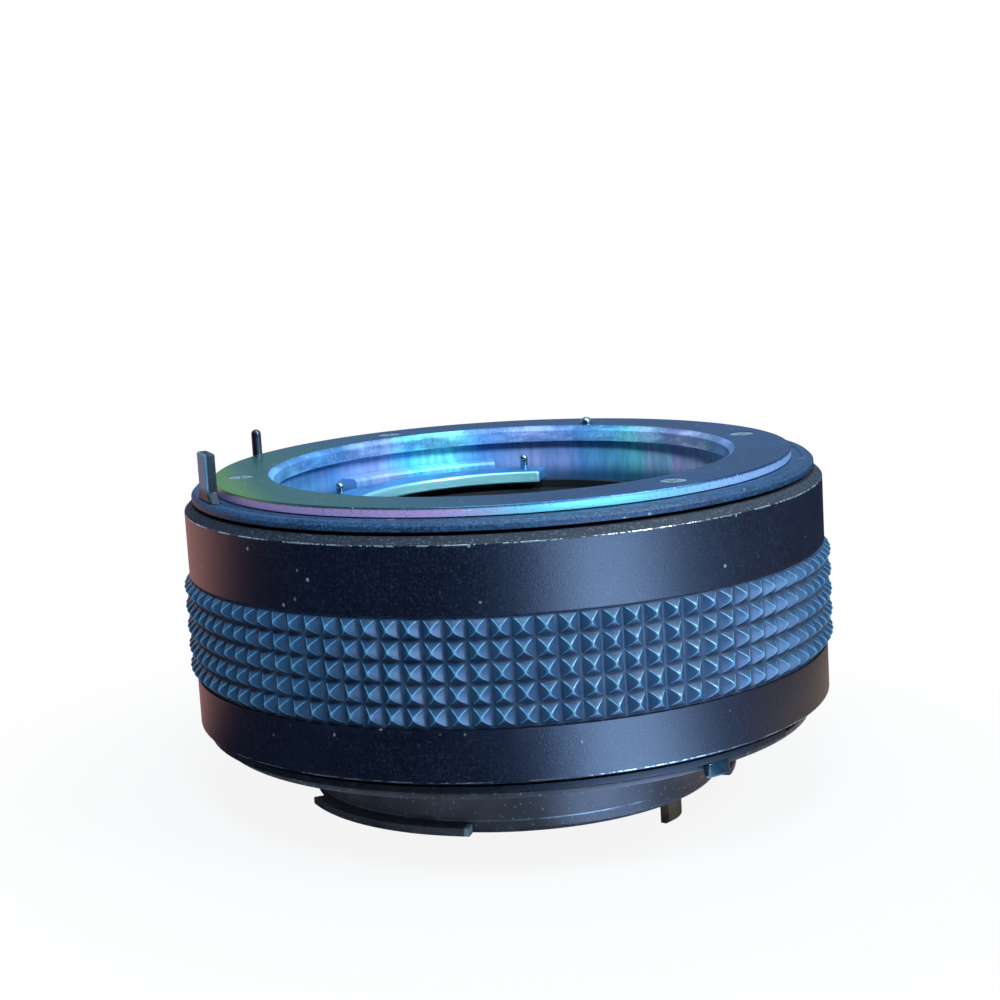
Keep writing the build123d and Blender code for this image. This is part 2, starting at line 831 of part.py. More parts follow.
# Return springs
def arc_wire(radius, circle, height, start, span):
    section = at(circle, start, height) * Rot(90, 0, 0) * Circle(radius)
    return revolve(section, Axis.Z, span)


def coupling_spring_start():
    return post_angles[0] - post_span / 2 - coupling_spring_span - spring_end_angle


def stopdown_spring_start():
    return sleeve_lug_angle - spring_end_angle - stopdown_spring_span


def coupling_spring():
    circle = carrier_inner - coupling_spring_radius - fit_gap
    start = coupling_spring_start()
    return arc_wire(coupling_spring_radius, circle, coupling_spring_height, start, coupling_spring_span)


def stopdown_spring():
    circle = sleeve_outer + stopdown_spring_radius + free_gap / 2
    start = stopdown_spring_start()
    return arc_wire(stopdown_spring_radius, circle, stopdown_spring_height, start, stopdown_spring_span)


# Lens lock
def release_slot(inner, outer):
    """The window in which the arm of the lock rides up and down."""
    high = lock_arm_top + free_gap / 2
    low = lock_arm_top - lock_arm_height - lock_travel - free_gap / 2
    return radial_block(inner, outer, lock_arm_width + free_gap, low, high, lock_angle)


def lock_pin():
    return domed_pin(lock_pin_radius, lock_arm_top, front_flange + lock_pin_proud, lock_circle, lock_angle)


def lock_arm():
    inner = lock_circle - lock_pin_radius
    outer = shell_radius + slide_gap + slide_thickness
    low = lock_arm_top - lock_arm_height
    return radial_block(inner, outer, lock_arm_width, low, lock_arm_top, lock_angle)


def lock_spring():
    high = lock_arm_top - lock_arm_height
    ring = Circle(lock_spring_outer_radius) - Circle(lock_spring_outer_radius - lock_spring_wall)
    return at(lock_circle, lock_angle, high - lock_spring_height) * extrude(ring, lock_spring_height)


def release_slide():
    """The ridged slide outside the shell that pulls the lock pin down."""
    inner = shell_radius + slide_gap
    middle = lock_arm_top - lock_arm_height / 2
    low = middle - slide_height / 2
    start = lock_angle - slide_span / 2
    body = tube(inner, inner + slide_thickness, low, low + slide_height, start, slide_span)
    grip_bottom = middle - slide_grip_height / 2
    reach = inner + slide_thickness + slide_grip_reach
    outline = [(inner, grip_bottom), (reach, grip_bottom)]
    step = slide_grip_height / slide_ridge_count
    for ridge in range(slide_ridge_count):
        outline.append((reach - slide_ridge_depth, grip_bottom + (ridge + 0.5) * step))
        outline.append((reach, grip_bottom + (ridge + 1) * step))
    outline.append((inner, grip_bottom + slide_grip_height))
    body += turned(outline, lock_angle - slide_grip_span / 2, slide_grip_span)
    hole = radial_block(inner - overrun, inner + slide_thickness + fit_gap, lock_arm_width + 2 * fit_gap,
                        lock_arm_top - lock_arm_height - fit_gap, lock_arm_top + fit_gap, lock_angle)
    return body - hole


# Lens barrel and optics
def lens_barrel():
    tail_low = -barrel_tail_depth
    mouth_low = barrel_top - barrel_mouth_depth
    flange_radius = claw_ring_radius
    outline = [
        (barrel_rear_lip_radius, tail_low),
        (barrel_tail_radius, tail_low),
        (barrel_tail_radius, chassis_low),
        (flange_radius, chassis_low),
        (flange_radius, barrel_flange_high),
        (barrel_radius, barrel_flange_high),
        (barrel_radius, barrel_top),
        (barrel_mouth_radius, barrel_top),
    ]
    outline += mouth_steps(mouth_low)
    outline += [
        (barrel_bore_radius, mouth_low),
        (barrel_bore_radius, tail_low + barrel_rear_lip),
        (barrel_rear_lip_radius, tail_low + barrel_rear_lip),
    ]
    body = turned(outline)
    slot_start = gusset_angles[0] - lever_slot_margin_angle
    slot_span = lever_end_angle + stopdown_travel_angle + lever_slot_margin_angle - slot_start
    body -= tube(sleeve_outer - free_gap, lever_outer + free_gap, chassis_low - overrun,
                 barrel_flange_high + overrun, slot_start, slot_span)
    for angle in barrel_screw_angles:
        body -= barrel_screw(angle, fit_gap)
    return body


def mouth_steps(mouth_low):
    """The glare-cutting steps of the flared mouth, from the top down."""
    step_drop = barrel_mouth_depth / barrel_groove_count
    step_in = (barrel_mouth_radius - barrel_bore_radius) / barrel_groove_count
    steps = []
    for step in range(1, barrel_groove_count):
        radius = barrel_mouth_radius - step * step_in
        height = barrel_top - step * step_drop
        steps.append((radius + barrel_groove_depth, height))
        steps.append((radius, height))
    return steps


def barrel_screw(angle, gap=0.0):
    """A small screw that holds the barrel's flange up against the chassis ledge."""
    head = barrel_screw_head_radius + gap
    shank = barrel_screw_radius + gap
    neck = chassis_low + barrel_screw_head_height + gap
    low = chassis_low - gap
    high = chassis_low + barrel_screw_length + gap
    outline = [(0, low), (head, low), (head, neck), (shank, neck), (shank, high), (0, high)]
    return at(barrel_screw_circle, angle, 0) * turned(outline)


def barrel_screws():
    return [barrel_screw(angle) for angle in barrel_screw_angles]


def crown_arc(edge_height, crown):
    """The half outline of a ground face, from its rim to the axis."""
    sphere = (lens_clear_radius ** 2 + crown ** 2) / (2 * abs(crown))
    half = lens_clear_radius / 2
    sag = sphere - sqrt(sphere ** 2 - half ** 2)
    turn = 1 if crown > 0 else -1
    middle = edge_height + crown - turn * sag
    return ThreePointArc((lens_clear_radius, 0, edge_height), (half, 0, middle), (0, 0, edge_height + crown))


def lens_element(low, sizes):
    """A glass element with a flat rim; a crown is positive where it stands out."""
    rim_height, front_crown, rear_crown = sizes
    high = low + rim_height
    front = crown_arc(high, front_crown)
    rear = crown_arc(low, -rear_crown)
    axis_line = Line((0, 0, high + front_crown), (0, 0, low - rear_crown))
    rim = Polyline((lens_clear_radius, 0, low), (lens_radius, 0, low), (lens_radius, 0, high),
                   (lens_clear_radius, 0, high))
    return revolve(make_face([rim, front, axis_line, rear]), Axis.Z, 360)


def optics():
    """The elements and spacers, stacked from the rear lip of the barrel."""
    names = ("rear_element", "fourth_element", "middle_element", "second_element", "front_element")
    sizes = (rear_element_sizes, fourth_element_sizes, middle_element_sizes, second_element_sizes,
             front_element_sizes)
    stack = {}
    low = barrel_rear_lip - barrel_tail_depth
    for index, name in enumerate(names):
        stack[name] = lens_element(low, sizes[index])
        low += sizes[index][0]
        if index < len(lens_spacer_heights):
            high = low + lens_spacer_heights[index]
            stack[f"lens_spacer_{index + 1}"] = tube(lens_retainer_radius, lens_radius, low, high)
            low = high
    stack["front_retainer"] = lens_retainer(low)
    return stack


def lens_retainer(low):
    """The threaded ring over the front element, bevelled towards the glass."""
    high = low + lens_retainer_height
    outline = [
        (lens_retainer_radius, low),
        (lens_radius, low),
        (lens_radius, high),
        (lens_retainer_radius + lens_retainer_bevel, high),
        (lens_retainer_radius, high - lens_retainer_bevel),
    ]
    return turned(outline)


def all_nodes():
    nodes = {
        "lower_shell": lower_shell(),
        "upper_shell": upper_shell(),
        "index_dot": index_dot(),
        "grip_sleeve": grip_sleeve(),
        "grip_carrier": grip_carrier(),
        "carrier_screws": carrier_screws(),
        "chassis": chassis(),
        "light_baffle": light_baffle(),
        "front_mount": front_mount(),
        "front_mount_screws": front_mount_screws(),
        "rotation_stop": rotation_stop(),
        "claw_ring": claw_ring(),
        "claw_springs": claw_springs(),
        "rear_mount": rear_mount(),
        "rear_mount_screws": rear_mount_screws(),
        "lens_barrel": lens_barrel(),
        "barrel_screws": barrel_screws(),
        "coupling_spring": coupling_spring(),
        "stopdown_spring": stopdown_spring(),
        "front_coupling_ring": front_coupling_ring(),
        "rear_coupling_ring": rear_coupling_ring(),
        "coupling_posts": coupling_posts(),
        "coupling_screws": coupling_screws(),
        "follower_tab": follower_tab(),
        "follower_pin": follower_pin(),
        "coupling_lug": coupling_lug(),
        "stopdown_sleeve": stopdown_sleeve(),
        "stopdown_plate": stopdown_plate(),
        "stopdown_pins": stopdown_pins(),
        "stopdown_lever": stopdown_lever(),
        "lock_pin": lock_pin(),
        "lock_arm": lock_arm(),
        "lock_spring": lock_spring(),
        "release_slide": release_slide(),
    }
    nodes.update(optics())
    return nodes


def write_nodes():
    os.makedirs("parts", exist_ok=True)
    for name, shape in all_nodes().items():
        solids = Compound(children=shape) if isinstance(shape, list) else shape
        export_step(solids, f"parts/{name}.step")


write_nodes()
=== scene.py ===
from math import atan2, cos, pi, radians, sin

import bpy
from bpy.props import FloatProperty, FloatVectorProperty, IntProperty, PointerProperty
from mathutils import Matrix, Vector


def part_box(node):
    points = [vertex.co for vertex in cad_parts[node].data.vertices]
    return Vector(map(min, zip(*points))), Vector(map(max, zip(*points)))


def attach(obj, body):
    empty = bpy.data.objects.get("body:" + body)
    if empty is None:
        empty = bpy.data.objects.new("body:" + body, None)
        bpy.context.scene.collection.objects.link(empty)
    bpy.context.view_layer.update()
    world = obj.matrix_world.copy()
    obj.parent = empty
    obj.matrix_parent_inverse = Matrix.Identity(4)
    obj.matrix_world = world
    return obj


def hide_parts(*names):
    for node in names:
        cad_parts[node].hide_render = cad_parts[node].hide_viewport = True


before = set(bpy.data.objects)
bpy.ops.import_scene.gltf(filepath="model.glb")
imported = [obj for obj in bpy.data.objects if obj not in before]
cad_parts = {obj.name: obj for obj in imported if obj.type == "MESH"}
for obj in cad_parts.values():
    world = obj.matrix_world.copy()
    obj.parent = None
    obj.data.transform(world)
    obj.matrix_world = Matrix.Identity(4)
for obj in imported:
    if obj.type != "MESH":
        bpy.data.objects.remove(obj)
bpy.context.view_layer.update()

bl_info = {
    "name": "Teleconverter builder",
    "version": (1, 0, 0),
    "blender": (4, 5, 0),
    "location": "View3D > Sidebar > Converter",
    "description": "Dresses the solids of a camera teleconverter and sets up its studio",
    "category": "Object",
}

MM = 0.001
TURN_STEPS = 192
FINE_TURN_STEPS = 720
HEAD_TOP = 0.05 * MM
HEAD_GAP = 3.0 * MM
LOCK_TRAVEL = 1.2 * MM
HOUSING = "converter_body"
COUPLING = "aperture_coupling"
STOPDOWN = "stopdown_link"
LOCK = "lens_lock"


# Sizes read from the solids
def reach(node):
    """The largest radius of a CAD node about the optical axis."""
    low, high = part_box(node)
    return max(high[0], high[1], -low[0], -low[1])


def bottom(node):
    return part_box(node)[0][2]


def top(node):
    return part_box(node)[1][2]


def heights(node):
    """The lowest and the highest point of a CAD node."""
    return bottom(node), top(node)


def centre(node):
    """The middle of a CAD node's box."""
    low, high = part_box(node)
    return [(first + last) / 2 for first, last in zip(low, high)]


def bearing(node):
    """The angle in degrees at which a CAD node stands round the optical axis."""
    x, y, _ = centre(node)
    return atan2(y, x) * 180 / pi


def screw_places(name):
    """Circle and angle of each screw head of a CAD node."""
    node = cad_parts[name]
    level = top(name) - HEAD_TOP
    points = [node.matrix_world @ vertex.co for vertex in node.data.vertices]
    heads = []
    for point in (point.xy for point in points if point.z > level):
        for head in heads:
            if (head[0] - point).length < HEAD_GAP:
                head.append(point)
                break
        else:
            heads.append([point])
    places = []
    for head in heads:
        x = (min(point.x for point in head) + max(point.x for point in head)) / 2
        y = (min(point.y for point in head) + max(point.y for point in head)) / 2
        places.append((Vector((x, y)).length, atan2(y, x) * 180 / pi))
    return places


# Settings
def length_setting(name, default, description):
    return FloatProperty(name=name, description=description, default=default, min=0.0, precision=5,
                         unit="LENGTH")


def colour_setting(name, default, description):
    return FloatVectorProperty(name=name, description=description, default=default, size=3, min=0.0,
                               max=1.0, subtype="COLOR")


def share_setting(name, default, description):
    return FloatProperty(name=name, description=description, default=default, min=0.0, max=1.0,
                         subtype="FACTOR")


def power_setting(name, default, description):
    return FloatProperty(name=name, description=description, default=default, min=0.0, unit="POWER")


class ShellSettings(bpy.types.PropertyGroup):
    """Sizes and colours of the two black shells."""
    wall: length_setting("Wall", 1.05 * MM, "Thickness of both shells")
    chamfer: length_setting("Front chamfer", 0.7 * MM, "Chamfer round the front of the upper shell")
    lip: length_setting("Lip", 0.8 * MM, "Height of the inner lips")
    lip_width: length_setting("Lip width", 1.8 * MM, "How far the lips reach in from the outside")
    edge: length_setting("Edge softness", 0.06 * MM, "Width of the broken edges")
    paint: colour_setting("Paint", (0.003, 0.0045, 0.012), "Satin black lacquer")
    bare: colour_setting("Bare metal", (0.72, 0.76, 0.82), "Metal that shows through worn edges")
    wear: share_setting("Edge wear", 0.85, "How much of the edges is worn to metal")


class GripSettings(bpy.types.PropertyGroup):
    """Sizes and colour of the rubber grip."""
    columns: IntProperty(name="Columns", description="Studs round the grip", default=100, min=12, max=400)
    rows: IntProperty(name="Rows", description="Rows of studs", default=5, min=1, max=20)
    rim: length_setting("Rim", 0.1 * MM, "Plain rim above and below the studs")
    stud: length_setting("Stud height", 0.9 * MM, "Height of a stud above the valleys")
    floor: length_setting("Valley floor", 0.16 * MM, "Width of the flat between two columns")
    seam: length_setting("Row seam", 0.2 * MM, "Width of the flat between two rows")
    ridge: length_setting("Ridge softness", 0.06 * MM, "Width of the softened ridges")
    curve: FloatProperty(name="Ridge curve", default=1.4, min=1.0, max=2.0,
                         description="1 for straight ridges, more to bend them towards the columns")
    rubber: colour_setting("Rubber", (0.016, 0.044, 0.096), "Dark slate rubber")


class MountSettings(bpy.types.PropertyGroup):
    """Sizes and colours of the front bayonet."""
    bore: length_setting("Bore radius", 22.9 * MM, "Radius of the opening for the lens")
    entry: length_setting("Entry chamfer", 0.5 * MM, "Chamfer at the mouth of the bore")
    neck: length_setting("Neck radius", 28.6 * MM, "Radius below the overhanging lip")
    lip: length_setting("Lip height", 0.9 * MM, "Height of the overhanging lip")
    claw: length_setting("Claw radius", 21.1 * MM, "Inner radius of the three claws")
    screw: length_setting("Screw head", 1.3 * MM, "Radius of the countersunk heads")
    plating: colour_setting("Plating", (0.045, 0.12, 0.25), "Darkened chrome of the bayonet ring")
    # The throat colour is one stop of the painted reflections on the wall inside the bayonet.
    throat: colour_setting("Throat", (0.12, 0.34, 0.72), "Bright wall inside the bayonet")


class RearSettings(bpy.types.PropertyGroup):
    """Sizes and colour of the rear bayonet."""
    barrel: length_setting("Barrel radius", 20.8 * MM, "Outer radius of the bayonet barrel")
    wall: length_setting("Barrel wall", 1.4 * MM, "Wall of the bayonet barrel")
    tab: length_setting("Tab reach", 1.55 * MM, "How far the tabs stand out")
    paint: colour_setting("Rear black", (0.1, 0.088, 0.1), "Semi-gloss black of the rear mount")


class OpticsSettings(bpy.types.PropertyGroup):
    """Sizes and colours of the lens barrel and its glass."""
    bore: length_setting("Barrel bore", 13.6 * MM, "Inner radius of the lens barrel")
    mouth: length_setting("Mouth radius", 15.8 * MM, "Radius of the flared mouth")
    mouth_depth: length_setting("Mouth depth", 2.6 * MM, "Depth of the flared mouth")
    clear: length_setting("Clear radius", 12.5 * MM, "Radius of the polished faces")
    black: colour_setting("Anti-glare black", (0.006, 0.006, 0.008), "Flat black of the baffles")


class StudioSettings(bpy.types.PropertyGroup):
    """Camera and lamps of the studio."""
    distance: length_setting("Camera distance", 0.2217, "From the camera to the point it turns about")
    lens: FloatProperty(name="Focal length", description="Focal length of the camera", default=77.285,
                        min=1.0, subtype="DISTANCE_CAMERA")
    key: power_setting("Key lamp", 0.85, "Power of the soft lamp on the right")
    fill: power_setting("Fill lamp", 0.5, "Power of the large lamp above")
    throat: power_setting("Throat lamp", 0.78, "Power of the lamp that looks into the bayonet")
    room: share_setting("Room light", 0.08, "Strength of the plain room light")


# Modelling by hand
def start_afresh():
    """Goes back to object mode with nothing selected."""
    if bpy.context.object and bpy.context.object.mode != "OBJECT":
        bpy.ops.object.mode_set(mode="OBJECT")
    bpy.ops.object.select_all(action="DESELECT")


def pick(obj):
    start_afresh()
    obj.select_set(True)
    bpy.context.view_layer.objects.active = obj
    return obj


def edit_all(obj):
    pick(obj)
    bpy.ops.object.mode_set(mode="EDIT")
    bpy.ops.mesh.select_mode(type="VERT")
    bpy.ops.mesh.select_all(action="SELECT")


def draw_outline(name, points, closed=True):
    """Draws an outline of (radius, height) points by extruding one vertex from corner to corner."""
    start_afresh()
    bpy.ops.mesh.primitive_plane_add(size=MM)
    obj = bpy.context.object
    obj.name = name
    obj.data.name = name
    bpy.ops.object.mode_set(mode="EDIT")
    bpy.ops.mesh.select_mode(type="VERT")
    bpy.ops.mesh.select_all(action="SELECT")
    bpy.ops.mesh.merge(type="CENTER")
    corners = [Vector((radius, 0.0, height)) for radius, height in points]
    bpy.ops.transform.translate(value=corners[0])
    for before, after in zip(corners, corners[1:]):
        bpy.ops.mesh.extrude_region_move(TRANSFORM_OT_translate={"value": after - before})
    if closed:
        bpy.ops.object.mode_set(mode="OBJECT")
        for index, vertex in enumerate(obj.data.vertices):
            vertex.select = index in (0, len(corners) - 1)
        bpy.ops.object.mode_set(mode="EDIT")
        bpy.ops.mesh.edge_face_add()
    return obj


def fill_outline(name, points):
    """Draws a closed outline with one face inside it."""
    obj = draw_outline(name, points)
    bpy.ops.mesh.select_all(action="SELECT")
    bpy.ops.mesh.edge_face_add()
    bpy.ops.mesh.select_all(action="SELECT")
    return obj


def tidy_mesh(obj, merge=0.0005 * MM):
    """Merges doubles and turns every face outwards."""
    edit_all(obj)
    bpy.ops.mesh.remove_doubles(threshold=merge)
    bpy.ops.mesh.normals_make_consistent(inside=False)
    bpy.ops.object.mode_set(mode="OBJECT")
    return obj


def lathe(name, points, closed=True, steps=TURN_STEPS):
    """Turns an outline right round the optical axis."""
    obj = draw_outline(name, points, closed)
    bpy.ops.mesh.select_all(action="SELECT")
    bpy.ops.mesh.spin(steps=steps, angle=2 * pi, center=(0, 0, 0), axis=(0, 0, 1))
    return tidy_mesh(obj)


def sector(name, points, start, span, steps_per_turn=TURN_STEPS):
    """Sweeps a closed outline through part of a turn and closes both ends."""
    obj = fill_outline(name, points)
    steps = max(3, round(steps_per_turn * span / 360))
    bpy.ops.mesh.spin(steps=steps, angle=-radians(span), center=(0, 0, 0), axis=(0, 0, 1))
    tidy_mesh(obj)
    return turn(obj, start)


def oblong(inner, outer, low, high):
    """The outline of a plain ring or bar."""
    return [(inner, low), (outer, low), (outer, high), (inner, high)]


def dome(radius, base, rise, angles):
    """Outline points over a rounded head, at angles up from its rim."""
    return [(radius * cos(radians(angle)), base + rise * sin(radians(angle))) for angle in angles]


def turn(obj, degrees):
    """Turns a finished mesh about the optical axis and leaves its object unturned."""
    return place(obj, Matrix.Rotation(radians(degrees), 4, "Z"))


def place(obj, matrix):
    pick(obj)
    obj.matrix_world = matrix @ obj.matrix_world
    bpy.ops.object.transform_apply(location=True, rotation=True, scale=True)
    return obj


def at(radius, degrees, height):
    """The place on a circle round the axis, with X pointing outwards."""
    turned = Matrix.Rotation(radians(degrees), 4, "Z")
    return turned @ Matrix.Translation((radius, 0.0, height))


def modify(obj, kind, **settings):
    """Adds one modifier and applies it."""
    pick(obj)
    modifier = obj.modifiers.new(kind.title(), kind)
    for key, value in settings.items():
        setattr(modifier, key, value)
    bpy.ops.object.modifier_apply(modifier=modifier.name)
    return obj


def soften(obj, width, segments=2, angle=28):
    """Breaks the sharp edges and shades the result smoothly."""
    modify(obj, "BEVEL", width=width, segments=segments, limit_method="ANGLE", angle_limit=radians(angle),
           use_clamp_overlap=True, miter_outer="MITER_ARC")
    return smooth(obj)


def smooth(obj, angle=42):
    pick(obj)
    bpy.ops.object.shade_smooth_by_angle(angle=radians(angle))
    return modify(obj, "WEIGHTED_NORMAL", keep_sharp=True, weight=80)


def cut(obj, *cutters):
    """Cuts shapes out of a piece and deletes them."""
    for cutter in cutters:
        modify(obj, "BOOLEAN", operation="DIFFERENCE", object=cutter, solver="EXACT")
        bpy.data.objects.remove(cutter, do_unlink=True)
    return obj


def block(matrix, *sizes):
    """A rectangular cutter of these sizes."""
    start_afresh()
    bpy.ops.mesh.primitive_cube_add(size=1.0)
    return place(bpy.context.object, matrix @ Matrix.Diagonal((*sizes, 1.0)))


def drill(obj, node, height, low_radius, high_radius, depth, vertices=48):
    """Cuts a straight or tapered pocket at each screw of a CAD node."""
    for circle, degrees in screw_places(node):
        start_afresh()
        bpy.ops.mesh.primitive_cone_add(vertices=vertices, radius1=low_radius, radius2=high_radius,
                                        depth=depth)
        cut(obj, place(bpy.context.object, at(circle, degrees, height)))


def join(name, pieces):
    """Joins several meshes into one piece."""
    pick(pieces[0])
    for piece in pieces[1:]:
        piece.select_set(True)
    if len(pieces) > 1:
        bpy.ops.object.join()
    pieces[0].name = name
    pieces[0].data.name = name
    return pieces[0]


def copies(obj, matrices):
    """Places copies of a shape, each with its own mesh, and removes the pattern."""
    placed = []
    for matrix in matrices:
        pick(obj)
        bpy.ops.object.duplicate(linked=False)
        placed.append(place(bpy.context.object, matrix))
    bpy.data.objects.remove(obj, do_unlink=True)
    return placed


def finish_piece(obj, body, node, material):
    """Gives a piece its finish, hangs it on its body and hides the CAD node that it stands for."""
    obj.data.materials.clear()
    obj.data.materials.append(material)
    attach(obj, body)
    if node:
        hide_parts(node)
    return obj


def dress_nodes(nodes, material):
    """Gives CAD nodes that stay in view a finished material."""
    for node in nodes:
        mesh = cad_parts[node].data
        if not mesh.materials:
            mesh.materials.append(material)
        for index in range(len(mesh.materials)):
            mesh.materials[index] = material


# Shader graphs
class Signal:
    """One output of a shader graph, with Python's arithmetic on it."""

    def __init__(self, graph, socket):
        self.graph = graph
        self.socket = socket

    def _math(self, operation, *values):
        return self.graph.node("ShaderNodeMath", {"operation": operation}, *values)

    def __add__(self, other):
        return self._math("ADD", self, other)

    def __sub__(self, other):
        return self._math("SUBTRACT", self, other)

    def __rsub__(self, other):
        return self._math("SUBTRACT", other, self)

    def __mul__(self, other):
        return self._math("MULTIPLY", self, other)

    __radd__ = __add__
    __rmul__ = __mul__

    def __truediv__(self, other):
        return self._math("DIVIDE", self, other)

    def __pow__(self, other):
        return self._math("POWER", self, other)

    def __abs__(self):
        return self._math("ABSOLUTE", self)

    def most(self, other):
        """The larger of two values."""
        return self._math("MAXIMUM", self, other)

    def fold(self):
        """Rises and falls from 1 to 0 and back within each whole number."""
        return abs(self._math("FRACT", self) - 0.5) * 2.0

    def clamped(self):
        return self.graph.node("ShaderNodeClamp", {}, self, 0.0, 1.0)

    def step(self, low, high):
        """Rises smoothly from 0 at low to 1 at high."""
        return self.graph.node("ShaderNodeMapRange", {"interpolation_type": "SMOOTHSTEP", "clamp": True},
                               self, low, high, 0.0, 1.0)

    def band(self, centre, half, soft):
        """1 within half of the centre, falling to 0 over soft."""
        return 1.0 - abs(self - centre).step(half, half + soft)


class Tree:
    """The shader nodes of a material or of the world."""

    def __init__(self, owner, output):
        owner.use_nodes = True
        self.owner = owner
        self.tree = owner.node_tree
        self.tree.nodes.clear()
        self.output = self.tree.nodes.new(output)

    def node(self, kind, settings, *values, **named):
        """Adds a node: its settings first, then the values or links of its sockets."""
        node = self.tree.nodes.new(kind)
        out = settings.pop("out", 0)
        stops = settings.pop("stops", None)
        for key, value in settings.items():
            setattr(node, key, value)
        if stops:
            ramp = node.color_ramp
            while len(ramp.elements) < len(stops):
                ramp.elements.new(1.0)
            for element, (position, colour) in zip(ramp.elements, stops):
                element.position = position
                element.color = (*colour, 1.0)
        sockets = [socket for socket in node.inputs if socket.enabled]
        self.fill(list(zip(sockets, values)) + [(node.inputs[key], value) for key, value in named.items()])
        return Signal(self, node.outputs[out])

    def fill(self, pairs):
        """Links or sets sockets; a colour gets its alpha."""
        for socket, value in pairs:
            if isinstance(value, Signal):
                self.tree.links.new(value.socket, socket)
            elif value is not None:
                socket.default_value = (*value, 1.0) if socket.type == "RGBA" else value

    def ray(self, kind):
        return self.node("ShaderNodeLightPath", {"out": kind})

    def show(self, surface):
        """Joins the finished shader to the output."""
        self.tree.links.new(surface.socket, self.output.inputs[0])
        return self.owner


class Graph(Tree):
    """The nodes of one material, with the piece's own coordinates."""

    def __init__(self, name):
        super().__init__(bpy.data.materials.new(name), "ShaderNodeOutputMaterial")
        self.place = self.node("ShaderNodeTexCoord", {"out": "Object"})
        parts = self.tree.nodes.new("ShaderNodeSeparateXYZ")
        self.tree.links.new(self.place.socket, parts.inputs[0])
        self.x, self.y, self.z = (Signal(self, output) for output in parts.outputs)
        self.radius = (self.x * self.x + self.y * self.y) ** 0.5
        self.angle = self.node("ShaderNodeMath", {"operation": "ARCTAN2"}, self.y, self.x)

    def noise(self, scale, detail=3.0, roughness=0.55, vector=None, distortion=0.0):
        """Noise in the object's own space, in waves for each millimetre, or over a stretched vector."""
        return self.node("ShaderNodeTexNoise", {}, Vector=vector or self.place, Detail=detail,
                         Scale=scale if vector else scale / MM, Roughness=roughness, Distortion=distortion)

    def polar(self, radius_scale, angle_scale, height_scale):
        """A vector for patterns that run round the axis: radius, angle and height, each stretched."""
        return self.node("ShaderNodeCombineXYZ", {}, self.radius * (radius_scale / MM),
                         self.angle * angle_scale, self.z * (height_scale / MM))

    def cells(self, scale):
        """Distance to scattered points, for specks of dust."""
        return self.node("ShaderNodeTexVoronoi", {}, Vector=self.place, Scale=scale / MM, Randomness=1.0)

    def mix(self, mask, first, second):
        """A colour between two, by a mask."""
        node = self.tree.nodes.new("ShaderNodeMix")
        node.data_type = "RGBA"
        self.fill(((node.inputs[0], mask), (node.inputs[6], first), (node.inputs[7], second)))
        return Signal(self, node.outputs[2])

    def ramp(self, value, *stops):
        return self.node("ShaderNodeValToRGB", {"stops": stops}, value)

    def bump(self, height, distance, strength=1.0, normal=None):
        return self.node("ShaderNodeBump", {}, Strength=strength, Distance=distance, Height=height,
                         Normal=normal)

    def finish(self, colour, roughness, metallic=0.0, normal=None, **constants):
        """Joins the finished surface to the output; the constants go on the shader's own sockets."""
        shader = self.node("ShaderNodeBsdfPrincipled", {}, colour, Roughness=roughness, Metallic=metallic,
                           Normal=normal)
        for name, value in constants.items():
            shader.socket.node.inputs[name.replace("_", " ")].default_value = value
        return self.show(shader)


# Finishes
def lighter(colour, times):
    """The same colour, so many times as bright."""
    return tuple(min(1.0, channel * times) for channel in colour)


def dust_specks(graph, scale, size, share):
    """A mask of small scattered specks, some of them missing."""
    specks = 1.0 - graph.cells(scale).step(size * 0.5, size)
    return specks * graph.noise(scale * 0.45, 2.0).step(1.0 - share, 1.04 - share)


def shell_finish(name, shell, edge, chamfer, wear):
    """Satin black lacquer with painted glints, worn to metal along one edge, with a dull chamfer between two
    heights.
    """
    graph = Graph(name)
    grain = graph.noise(7.0, 2.0, 0.7)
    cloud = graph.noise(0.12, 4.0, 0.6)
    chips = graph.noise(1.0, 3.0, 0.7, graph.polar(0.4, 60.0, 2.0))
    stretch = graph.noise(1.0, 2.0, 0.5, graph.polar(0.0, 9.0, 0.0))
    limit = 0.66 - 0.2 * wear
    chipped = (chips * 0.45 + stretch * 0.55).step(limit, limit + 0.04)
    worn = graph.z.band(edge, 0.02 * MM, 0.05 * MM) * chipped
    low, high = chamfer
    dull = graph.z.band((low + high) / 2, (high - low) / 2, 0.02 * MM)
    dust = dust_specks(graph, 0.55, 0.13, 0.46)
    # Painted glints: small bright blue specks scattered over the lacquer and its dull chamfer.
    painted_glint = graph.noise(4.4, 1.0, 0.6).step(0.56, 0.66)
    colour = graph.mix(cloud.step(0.35, 0.75) * 0.5, tuple(shell.paint), lighter(shell.paint, 1.7))
    colour = graph.mix(painted_glint * 0.32, colour, (0.03, 0.045, 0.085))
    colour = graph.mix(dust * 0.6, colour, (0.32, 0.36, 0.42))
    colour = graph.mix(dull, colour, graph.mix(painted_glint * 0.5, (0.012, 0.014, 0.022), (0.09, 0.12, 0.18)))
    colour = graph.mix(worn, colour, tuple(shell.bare))
    rough = 0.25 + cloud * 0.08 + grain * 0.12 + dull * 0.4 - worn * 0.3
    normal = graph.bump(grain, 0.02 * MM, 1.0, graph.bump(cloud, 0.05 * MM, 0.2))
    return graph.finish(colour, rough, (worn + dull * 0.35).clamped() * 0.88, normal, Specular_IOR_Level=0.9)


